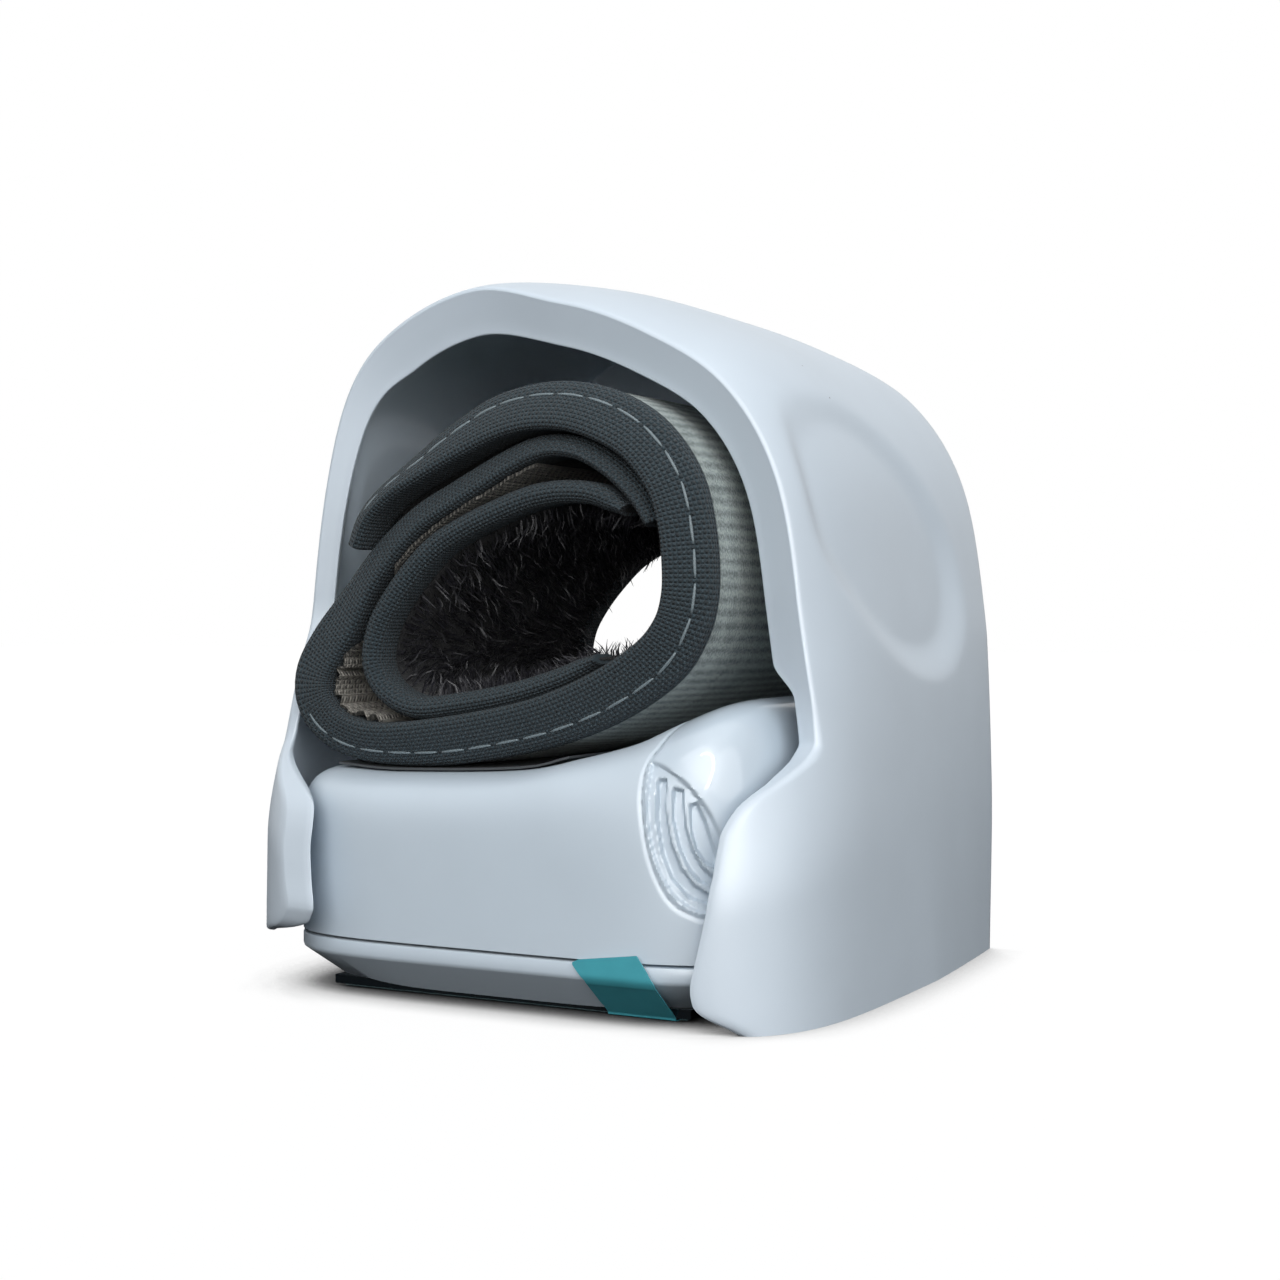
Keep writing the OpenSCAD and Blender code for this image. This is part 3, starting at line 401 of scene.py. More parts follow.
def makeCover():
    s = coverSettings
    path = splinePoints(s["outline"], 60)
    start = np.argmax(path[:, 1] >= s["footLift"])
    path = path[start:]
    path[0] = [np.interp(s["footLift"], path[:200, 1], path[:200, 0]), s["footLift"]]
    d = lengthsAlong(path)
    # points closer together where the wings' edges turn
    marks, at = [0.0], 0.0
    while at < d[-1]:
        z = np.interp(at, d, path[:, 1])
        at += 0.45 if (26 < z < 50) else (0.6 if z < 16 else 1.1)
        marks.append(min(at, d[-1]))
    outer = resample(path, marks)
    inward = rightSide(outer)
    n = len(outer)
    z = outer[:, 1]
    left = np.arange(n) < np.argmax(z)
    # the left wing's edge is measured from its lifted foot
    dropped = (z - s["footLift"]) / (1 - s["footLift"] / 75)
    mixed = dropped + (z - dropped) * smooth((z - 14) / 7)
    edge = np.where(left, mixed, z)
    edge = np.where(z > 60, 100, edge)
    leftWing, rightWing = splinePoints(s["leftWing"], 20), splinePoints(s["rightWing"], 20)
    front = np.where(left, np.interp(edge, *leftWing.T), np.interp(edge, *rightWing.T))
    front = np.where(edge > 56, s["rimY"], front)
    slope = np.abs(np.gradient(front) / (np.gradient(np.array(marks)) + 1e-9))
    stretch = np.minimum(np.sqrt(1 + slope ** 2), 3.2)
    # the rim starts above the wings, on the right with a narrow step first
    wall = s["wall"]
    full = (s["rimTop"] - s["rimSide"]) * smooth((outer[:, 0] + 44) / 16)
    step = np.where(left, smooth((edge - 48) / 5), smooth((edge - 33) / 3))
    rimW = between((wall, s["rimSide"]), step) + full * smooth((edge - 43) / 5)
    rimW += np.where(left, (s["leftFlange"] - wall) * smooth(edge / 5) * (1 - smooth((edge - 31.5) / 4)), 0)
    rOut = between((s["wingRound"], s["edgeRound"]), smooth((edge - 36) / 8))
    rIn = rOut * 0.95
    flat = rimW - rOut - rIn
    rear = s["rearY"]
    # each entry: inward offset and depth, one value per outline point, and how far the rear wall drops there
    profile = []
    for t in np.linspace(0, 1, 74)[::-1]:
        profile.append((np.zeros(n), front + rOut * stretch + (rear - 0.6 - front - rOut * stretch) * t, 0))
    for w in (22.5, 45, 67.5, 90):
        c, q = quarterTurn(w)
        profile.append((rOut * c, front + rOut * stretch * q, 0))
    lean = s["rimSlope"] * smooth((rimW - wall) / 1.4) * np.where(left, smooth((edge - 44) / 8), 1)
    for t in (0.0, 0.35, 0.7):
        profile.append((rOut + flat * t + 0.05, front + lean * (flat * t + 0.05), 0))
    lip = front + lean * (rimW - rOut - rIn * 0.6)
    for w in (90, 67.5, 45, 22.5, 0):
        c, q = quarterTurn(w)
        profile.append((rimW - rIn * c, lip + rIn * stretch * q * (1 - 0.4 * smooth(lean * 8)), 0))
    depth = np.maximum(s["rimDepth"], lip - front + 0.9)
    rimBack = np.maximum(depth, rIn * stretch + 0.3)
    profile.append((rimW, front + rimBack * 0.92, 0))
    profile.append((rimW - 0.25 * (rimW - wall), front + rimBack, 0))
    wallFront = front + np.maximum(depth, rIn * stretch + 0.35)
    for t in (0.5, 1.0):
        profile.append((rimW + (wall - rimW) * t, wallFront + 0.12 * t, 0))
    inStart = wallFront + 0.9
    for t in np.linspace(0, 1, 60):
        profile.append((np.full(n, wall), inStart + (rear - wall - 0.5 - inStart) * t, 0))
    # the wall across the rear's top: where its drop is 1, its points lie on the opening's edge
    for drop, back in ((0.02, 0.3), (0.5, 0.15), (0.98, 0.08), (1.0, -0.25), (1.0, -wall + 0.4),
                       (0.985, -wall + 0.1)):
        profile.append((np.full(n, wall), np.full(n, rear - wall - back), drop))
    for w, y, drop in ((wall - 0.3, rear - 0.03, 0.95), (wall - 0.6, rear, 0.5), (0.6, rear, 0),
                       (0.18, rear - 0.17, 0)):
        profile.append((np.full(n, w), np.full(n, y), drop))
    m = len(profile)
    grid = np.zeros((n, m, 3))
    for k, (w, y, drop) in enumerate(profile):
        place = outer + inward * w[:, None]
        place[:, 1] -= drop * np.maximum(0, place[:, 1] - s["rearOpen"])
        grid[:, k] = coverPoint(place, y)
    faces = gridFaces(n, m, closeCols=True)
    faces += [tuple(range(m)), tuple(reversed(range((n - 1) * m, n * m)))]
    obj = meshFrom("coverShell", grid.reshape(-1, 3), faces, finishes["cover"])
    faceOutwards(obj)
    creaseAt(obj, 50)
    roundEdges(obj, s["cornerRound"], 55)
    return obj

coverShell = makeCover()
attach(coverShell, "cover")
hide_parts("storage_cover")
print("stage: storage cover,", len(coverShell.data.polygons), "faces")

# monitor housing: pillow-edged shell whose right side rises to a dome over the cells
housingSettings = {
    "seamZ": 8.0, "halfX": 37.5, "halfY": 35.0, "plan": 5.0, "wall": 1.8, "doorBack": 25.0, "seamGap": 0.24,
    "top": [(-37.5, 8), (-36.6, 22), (-35.8, 29), (-32, 30.9), (-20, 30.4), (0, 31.2), (10, 33.2), (18, 35.6),
            (24, 38.7), (30, 41), (34, 39.7), (36.3, 34), (37.4, 24), (37.5, 8)],
    "seam": [(25.8, 50), (24.4, 37), (23.3, 33.6), (23, 31), (23.3, 27), (24.4, 21.4), (26.6, 16.6),
             (29.4, 14.4), (33, 13.7), (45, 13.7)],
    # thumb grip: a leaf-shaped recess between two lines, with three channels in it
    "leafDepth": 0.5, "channelDepth": 1.25, "edgeSoft": 0.12,
    "leafA": [(23.7, 33.4), (25.2, 33), (27.2, 31.9), (28.9, 30.6), (30.2, 29.1), (31.2, 27.6), (32, 26),
              (33.2, 22.5), (34, 18)],
    "leafB": [(33.4, 15.2), (31.3, 14.7), (29.5, 15.2), (27.6, 16.8), (26, 19.2), (24.9, 22), (24.2, 25),
              (23.8, 28.5)],
    "channels": [
        [(24.8, 31.4), (25.1, 26.2), (25.9, 21.9), (27.2, 18.7), (29.3, 16.5), (31.5, 15.7), (33, 15.7),
         (33, 16.7), (31.5, 16.9), (29.9, 18), (28.3, 20.2), (27, 23.3), (26.2, 27.6), (26, 31.4)],
        [(27, 30.3), (27.2, 26.3), (28.1, 22.6), (29.3, 20), (30.6, 18.5), (32, 17.9), (33.2, 17.8),
         (33.2, 18.8), (32, 19.1), (30.8, 20.3), (29.7, 22.4), (28.8, 25.4), (28.3, 30)],
        [(29.3, 28.2), (29.5, 24.8), (30.2, 22.4), (31.2, 20.9), (32.3, 20.2), (32.5, 21.4), (31.8, 23.7),
         (31.1, 26.1), (30.1, 28.4)]],
}

def edgePower(x):
    return 10 - 4 * smooth((x - 4) / 22)

# the plan's outline at unit size: a rectangle with generous corners
def planLoop(angles):
    power = 2 / housingSettings["plan"]
    return np.stack([np.sign(w) * np.abs(w) ** power for w in (np.cos(angles), np.sin(angles))], 1)

# height over the plan: the end-view line, let down to the seam towards the outline
def housingHeight(x, rho, crest):
    s = housingSettings
    p = edgePower(x)
    return s["seamZ"] + np.interp(x, crest[:, 0], crest[:, 1]) * (1 - np.minimum(rho, 1) ** p) ** (1 / p)

# the end-view line as heights over the seam, before the fall towards the outline
def crestLine():
    s = housingSettings
    line = splinePoints(s["top"], 24)
    line = line[np.argsort(line[:, 0])]
    x = np.linspace(-36.9, 37.3, 240)
    fall = (1 - (np.abs(x) / s["halfX"]) ** edgePower(x)) ** (1 / edgePower(x))
    h = (np.interp(x, line[:, 0], line[:, 1]) - s["seamZ"]) / fall
    for k in range(6):
        h[1:-1] = (h[:-2] + 2 * h[1:-1] + h[2:]) / 4
    return np.stack([x, h], 1)

# distance of each point from a line, negative inside a closed one
def distanceTo(points, line, closed):
    a = np.array(line, float)
    b = np.roll(a, -1, 0)
    if not closed:
        a, b = a[:-1], b[:-1]
    best = np.full(len(points), 1e9)
    for p, q in zip(a, b):
        v = q - p
        t = np.clip(((points - p) @ v) / (v @ v + 1e-12), 0, 1)
        best = np.minimum(best, np.linalg.norm(points - (p + t[:, None] * v), axis=1))
    if not closed:
        return best
    inside = np.zeros(len(points), bool)
    x, z = points[:, 0], points[:, 1]
    for p, q in zip(a, b):
        hit = ((p[1] > z) != (q[1] > z)) & (x < (q[0] - p[0]) * (z - p[1]) / (q[1] - p[1] + 1e-12) + p[0])
        inside ^= hit
    return np.where(inside, -best, best)

def makeHousing():
    s = housingSettings
    crest = crestLine()
    # ring angles: fine where the thumb grip lies, coarser elsewhere
    stations = []
    for a0, a1, count in ((-90, -47, 210), (-47, 0, 40), (0, 90, 60), (90, 180, 60), (180, 270, 80)):
        stations += list(np.linspace(a0, a1, count, endpoint=False))
    edge = planLoop(np.radians(stations)) * [s["halfX"], s["halfY"]]
    # even out the spacing along the outline in each stretch
    loop = np.vstack([edge, edge[:1]])
    d = lengthsAlong(loop)
    marks, at = [], 0.0
    while at < d[-1] - 0.2:
        marks.append(at)
        x, y = (np.interp(at, d, loop[:, k]) for k in (0, 1))
        at += 0.22 if (y < -20 and x > 22) else (0.9 if y < 0 else 1.2)
    edge = resample(loop, marks)
    cols = len(edge)
    levels = np.concatenate([np.linspace(0, 0.86, 108), np.linspace(0.866, 0.99, 42)])
    inward = np.linspace(0.98, 0.03, 36)
    p = edgePower(edge[:, 0])
    rows = len(levels) + len(inward)
    grid = np.zeros((rows, cols, 3))
    for k in range(rows):
        # each row takes the same share of the height in every column, whatever that column's edge power
        share = (1 - levels[min(k, len(levels) - 1)] ** p) ** (1 / p)
        r = share * (1 if k < len(levels) else inward[k - len(levels)])
        x, y = edge[:, 0] * r, edge[:, 1] * r
        grid[k] = np.stack([x, y, housingHeight(x, r, crest)], 1)
    du = np.roll(grid, -1, 1) - np.roll(grid, 1, 1)
    dv = np.gradient(grid, axis=0)
    normal = np.cross(du, dv)
    normal /= np.linalg.norm(normal, axis=2)[..., None] + 1e-12
    if normal[5, 0] @ grid[5, 0] < 0:
        normal = -normal
    inner = grid - normal * s["wall"]
    inner[0] = grid[0] - grid[0] * [0.05, 0.05, 0]
    inner[..., 2] = np.maximum(inner[..., 2], s["seamZ"])
    inner[0, :, 2] = s["seamZ"]
    # recesses pressed in along the surface's own direction
    front = (grid[..., 1] < -18) & (grid[..., 0] > 18)
    at = grid[front]
    flat = at[:, [0, 2]]
    leaf = np.vstack([splinePoints(s["leafA"], 6), splinePoints(s["leafB"], 6)])
    soft = s["edgeSoft"]
    deep = s["leafDepth"] * smooth(0.5 - distanceTo(flat, leaf, True) / (2 * soft))
    groove = np.zeros(len(flat))
    for c in s["channels"]:
        groove = np.maximum(groove, smooth(0.5 - distanceTo(flat, c, True) / (2.2 * soft)))
    deep += (s["channelDepth"] - s["leafDepth"]) * groove
    seamLine = splinePoints(s["seam"], 8)
    lip = distanceTo(flat, seamLine, False)
    deep += 0.2 * smooth(1 - lip / 0.55)
    grid[front] = at - normal[front] * deep[:, None]
    verts = np.vstack([grid.reshape(-1, 3), inner.reshape(-1, 3)])
    faces = gridFaces(rows, cols, closeCols=True)
    skin = rows * cols
    last = skin - cols
    faces += [tuple(skin + i for i in f[::-1]) for f in faces]
    top = [tuple(range(last, skin)), tuple(reversed(range(skin + last, 2 * skin)))]
    rim = [(i, (i + 1) % cols, skin + (i + 1) % cols, skin + i) for i in range(cols)]
    shell = meshFrom("monitorHousing", verts, faces + top + rim, finishes["housing"])
    faceOutwards(shell)
    door = shell.copy()
    door.data = shell.data.copy()
    door.name = "batteryDoor"
    door.data.name = "batteryDoor"
    bpy.context.scene.collection.objects.link(door)
    side = -rightSide(seamLine)
    half = s["seamGap"] / 2
    low = s["seam"][-1][1]
    # the part of space that holds the door, its boundary shifted from the seam
    def region(shift, back):
        outline = [tuple(p) for p in seamLine + side * shift] + [(60, low + shift), (60, 50)]
        return prism("seamCutter", outline, -50, back, "Y")
    cutWith(shell, region(half, s["doorBack"] + half), solver="MANIFOLD")
    cutWith(door, region(-half, s["doorBack"] - half), "INTERSECT", "MANIFOLD")
    for obj in (shell, door):
        creaseAt(obj, 42)
    door.data.materials.clear()
    door.data.materials.append(finishes["door"])
    return shell, door

monitorHousing, batteryDoor = makeHousing()
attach(monitorHousing, "monitor")
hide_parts("rear_housing")
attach(batteryDoor, "battery_door")
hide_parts("battery_cover")
print("stage: housing and battery door,", len(monitorHousing.data.polygons),
      len(batteryDoor.data.polygons), "faces")

# face bezel: low tray under the seam, curved edge, openings for the lens and the buttons
bezelSettings = {
    "top": 7.6, "edge": 5.6, "run": 6.5,      # height of the seam and of the edge, and the slope's reach
    "lens": (-28.15, 28.15, -29.65, -2.85), "lensDepth": 1.7, "lensStep": 3.15, "edgeRound": 0.18,
    "buttonY": 14.5, "pill": (22.5, 10.5), "roundX": 22.0, "roundD": 8.5, "tabSlot": (13.8, 26.0),
}

# solid of stacked outlines like the housing's, each with its inset and height
def ringSolid(name, levels):
    s = housingSettings
    n, count = len(levels), 220
    loop = planLoop(np.linspace(0, 2 * math.pi, count, endpoint=False))
    verts = np.vstack([np.hstack([loop * [s["halfX"] - inset, s["halfY"] - inset], np.full((count, 1), z)])
                       for inset, z in levels])
    faces = gridFaces(n, count, closeCols=True)
    faces += [tuple(reversed(range(count))), tuple(range((n - 1) * count, n * count))]
    obj = meshFrom(name, verts, faces, finishes["housing"])
    faceOutwards(obj)
    return obj

def roundedBar(length, width):
    r = width / 2
    c = (length - width) / 2
    pts = [(c + r * math.cos(t), r * math.sin(t)) for t in np.linspace(-math.pi / 2, math.pi / 2, 20)]
    return pts + [(-x, -y) for x, y in pts]

def box(x0, x1, y0, y1, z0, z1):
    return prism("boxCutter", [(x0, y0), (x1, y0), (x1, y1), (x0, y1)], z0, z1)

def makeBezel():
    s = bezelSettings
    run, edge, top = s["run"], s["edge"], s["top"]
    # the underside slopes straight in from a crisp lower edge
    body = ringSolid("faceBezel", [(run + 0.02, 0.0), (run - 0.15, 0.02), (0.42, edge - 0.4),
                                   (0.12, edge - 0.12), (0.0, edge + 0.3), (0.0, 6.4), (0.0, top - 0.3),
                                   (0.07, top - 0.1), (0.25, top)])
    cutWith(body, ringSolid("hollow", [(3.0, 3.2), (3.0, 12)]))
    lip = ringSolid("lip", [(2.0, 6.4), (2.0, 9.2)])
    cutWith(lip, ringSolid("lipHollow", [(3.0, 5), (3.0, 12)]))
    cutWith(body, lip, "UNION")
    x0, x1, y0, y1 = s["lens"]
    step = s["lensStep"]
    cutWith(body, box(x0, x1, y0, y1, -1, s["lensDepth"]))
    cutWith(body, box(x0 + step, x1 - step, y0 + step, y1 - step, -1, 5))
    cutWith(body, box(*s["tabSlot"], -36, y0, -1, 0.4))
    cutWith(body, prism("pillCutter", [(x, y + s["buttonY"]) for x, y in roundedBar(*s["pill"])], -1, 5))
    r = s["roundD"] / 2
    for side in (-1, 1):
        ring = [(side * s["roundX"] + r * math.cos(t), s["buttonY"] + r * math.sin(t))
                for t in np.linspace(0, 2 * math.pi, 40, endpoint=False)]
        cutWith(body, prism("roundCutter", ring, -1, 5))
    creaseAt(body, 40)
    roundEdges(body, s["edgeRound"], 60)
    return body

faceBezel = makeBezel()
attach(faceBezel, "monitor")
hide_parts("front_bezel")
print("stage: face bezel,", len(faceBezel.data.polygons), "faces")

# clear film over the lens, with its tinted pull tab lying up the front
filmSettings = {
    "thick": 0.15, "pane": (-27, 27, -28.5, -4), "paneZ": 0.12,
    "stand": 0.24, "top": 9.3,   # how far the tab stands off the bezel, and the height it reaches
    "left": [(0.3, 15.9), (5.3, 15.5), (7.3, 13.8), (7.6, 13.85), (8.2, 15.1), (9.3, 16.6)],
    "right": [(0.3, 25.8), (5.6, 25.6), (7.0, 24.7), (9.1, 23.2), (9.3, 22.8)],
}

def makeFilmTab():
    s = filmSettings
    # from under the lens out along the bezel's sloping underside, round its edge and up its side
    run, edge, stand = bezelSettings["run"], bezelSettings["edge"], s["stand"]
    face = -housingSettings["halfY"]
    side = face - stand
    start = [(-27.5, 0.06), (face + run - 0.7, 0.06)]
    slope = [(face + run - 0.15 - (run - 0.57) * t - stand * 0.66,
              max(0.06, (edge - 0.42) * t - stand * 0.75)) for t in np.linspace(0.12, 1, 12)]
    up = [(side, edge + 0.25), (side - 0.02, 7.0), (side, 8.2), (side, s["top"])]
    route = splinePoints(start + slope + up, 6)
    d = lengthsAlong(route)
    back = rightSide(route)
    n, cols = len(route), 21
    z = route[:, 1]
    grid, uv = [], []
    for i in range(n):
        h = z[i] if d[i] > 4 else 0.3
        xl, xr = (np.interp(h, *zip(*s[edgeName])) for edgeName in ("left", "right"))
        for x in np.linspace(xl, xr, cols):
            # the upper edge is cut at a slant, from 8.0 at its left to 9.1 at its right
            cut = 8.05 + (x - 15) * 0.13
            over = max(0.0, z[i] - cut)
            grid.append((x, route[i, 0], z[i] - over))
            uv.append((x, d[i] - over))
    grid = np.array(grid)
    shift = np.repeat(back, cols, 0) * s["thick"]
    other = grid + np.stack([np.zeros(len(grid)), shift[:, 0], shift[:, 1]], 1)
    if other[len(other) // 2, 1] < grid[len(grid) // 2, 1]:
        other = 2 * grid - other
    k = n * cols
    f = gridFaces(n, cols)
    faces = f + [tuple(k + i for i in reversed(q)) for q in f]
    for a in range(0, (n - 1) * cols, cols):
        b, e, g = a + cols, a + cols - 1, a + 2 * cols - 1
        faces += [(a, b, k + b, k + a), (e, k + e, k + g, g)]
    for i in range(cols - 1):
        a = (n - 1) * cols
        faces += [(i, k + i, k + i + 1, i + 1), (a + i, a + i + 1, k + a + i + 1, k + a + i)]
    tab = meshFrom("filmTab", np.vstack([grid, other]), faces, finishes["film"], np.vstack([uv, uv]))
    faceOutwards(tab)
    creaseAt(tab, 50)
    x0, x1, y0, y1 = s["pane"]
    pane = box(x0, x1, y0, y1, s["paneZ"], s["paneZ"] + s["thick"])
    pane.name = pane.data.name = "screenFilm"
    pane.data.materials.clear()
    pane.data.materials.append(finishes["clearFilm"])
    return tab, pane

filmTab, screenFilm = makeFilmTab()
for piece in (filmTab, screenFilm):
    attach(piece, "monitor")
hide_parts("screen_film")
print("stage: screen film and its tab")

# rolled cuff: one padded strip wound over itself, a plush lining strip inside it, mesh between
cuffSettings = {
    "front": -28.5, "back": 36.5,
    # middle line and half thickness: from the loose tail over the top, round below, folded at the left,
    # to the inner end
    "strip": [(-26.4, 61.9, 0.9), (-24.4, 66.3, 1.2), (-20.8, 69.8, 1.5), (-15.6, 73, 1.95),
              (-10.6, 75.8, 2.45), (-4.6, 78.6, 2.85), (0.1, 79.9, 2.95), (4.7, 80.3, 3), (9.5, 79.8, 3.05),
              (14.3, 78.2, 3.1), (18.6, 75.7, 3), (21.8, 72.4, 2.9), (24.1, 68.5, 2.8), (25.3, 64.2, 2.7),
              (25.9, 59.1, 2.7), (25.8, 54.4, 2.7), (24.5, 50.2, 2.75), (21.2, 46, 3), (14.6, 41.8, 3.1),
              (6.6, 38.5, 3.05), (-1.4, 36.45, 3), (-12, 34.7, 2.95), (-22, 34.1, 2.6), (-28, 35.1, 2.6),
              (-31.7, 37.4, 2.6), (-33.6, 40.6, 2.75), (-33.6, 44.2, 2.85), (-31.7, 47.9, 2.9),
              (-29.2, 51.3, 2.85), (-26.3, 55.4, 2.3), (-23.6, 58.9, 2.1), (-20, 62.6, 1.9), (-15.6, 66, 1.75),
              (-10.2, 68.8, 1.65), (-5.4, 71.2, 1.6), (-1.4, 73.1, 1.5), (2.4, 74.5, 1.4), (6, 74.9, 1.2),
              (10, 74.2, 1.1), (13.6, 72.3, 1), (16.7, 69.9, 0.95), (19.2, 67.2, 0.9), (21, 64.3, 0.8)],
    "lining": [(12.6, 46.3, 0.8), (6.4, 43.6, 1.1), (-1.2, 41.4, 1.2), (-9.6, 39.9, 1.25), (-16.6, 39.3, 1.3),
               (-21.6, 41.4, 1.35), (-24, 45.2, 1.4), (-23.4, 49.9, 1.4), (-21, 54.1, 1.4), (-17.4, 58.3, 1.4),
               (-13.3, 61.9, 1.35), (-8.2, 64.5, 1.3), (-2.5, 66.7, 1.3), (2.6, 68.2, 1.3), (7.6, 68.7, 1.25),
               (12.4, 68.1, 1.2), (16.6, 66, 1)],
    "mesh": [(-21.6, 37.4, 0.25), (-26.6, 38.5, 0.25), (-29.4, 40.6, 0.25), (-29.9, 43.4, 0.25),
             (-28.1, 46.8, 0.25), (-25.5, 50.7, 0.25), (-22.9, 55.2, 0.25), (-19.4, 59.5, 0.25),
             (-15, 63.2, 0.25), (-9.3, 66.6, 0.25), (-4.6, 68.9, 0.25), (-0.4, 71, 0.25), (3.4, 72.3, 0.25)],
    "foldAt": 25,                # the strip's point where it turns back inwards
    "bodyInset": 0.16, "liningInset": 0.12,   # how far the fabric lies under the half thickness given above
    "tapeSlope": (3.0, 1.9),     # how far the front tape slopes back, on the outer wrap and the inner one
    "tapeInner": 6.5, "tapeThick": 0.42, "recess": 0.7, "waver": 0.12, "endTape": 5.5, "liningTape": 5.6,
    "swell": (0.35, 1.1),        # how far the wrap bulges between its tapes, above and on the monitor
    "stitch": 3.6, "stitchGap": 0.75, "stitchRadius": 0.15, "stitchInset": 1.55,
    "fibres": 9000, "fibreLength": (2.0, 3.8), "fibreWidth": 0.13,
}

# sweeps a profile of (height over the middle line, depth from front to back) along a strip's path
def sweep(name, path, profileAt, mat):
    n = len(path)
    out = -rightSide(path)
    along = lengthsAlong(path)
    rows, uvs = [], []
    for i in range(n):
        pr = np.array(profileAt(i))
        up = pr[:, 0]
        rows.append(np.stack([path[i, 0] + out[i, 0] * up, pr[:, 1], path[i, 1] + out[i, 1] * up], 1))
        uvs.append(np.stack([np.full(len(pr), along[i]), lengthsAlong(pr)], 1))
    cols = len(rows[0])
    faces = gridFaces(n, cols, closeCols=True)
    faces += [tuple(range(cols)), tuple(reversed(range((n - 1) * cols, n * cols)))]
    obj = meshFrom(name, np.vstack(rows), faces, mat, np.vstack(uvs))
    faceOutwards(obj)
    creaseAt(obj, 55)
    return obj

def denseStrip(points, spacing):
    p = splinePoints(points, 24)
    d = lengthsAlong(p)
    return resample(p, np.linspace(0, d[-1], int(d[-1] / spacing) + 1))

# where along a strip each of the listed points lies
def pointMarks(points):
    return lengthsAlong(splinePoints(points, 24))[::24]

# how deep the front tape's face lies at the share q of the strip's thickness
def tapeDepth(slope, q):
    return 0.05 + slope * (max(q - 0.12, 0) / 0.88) ** 1.35

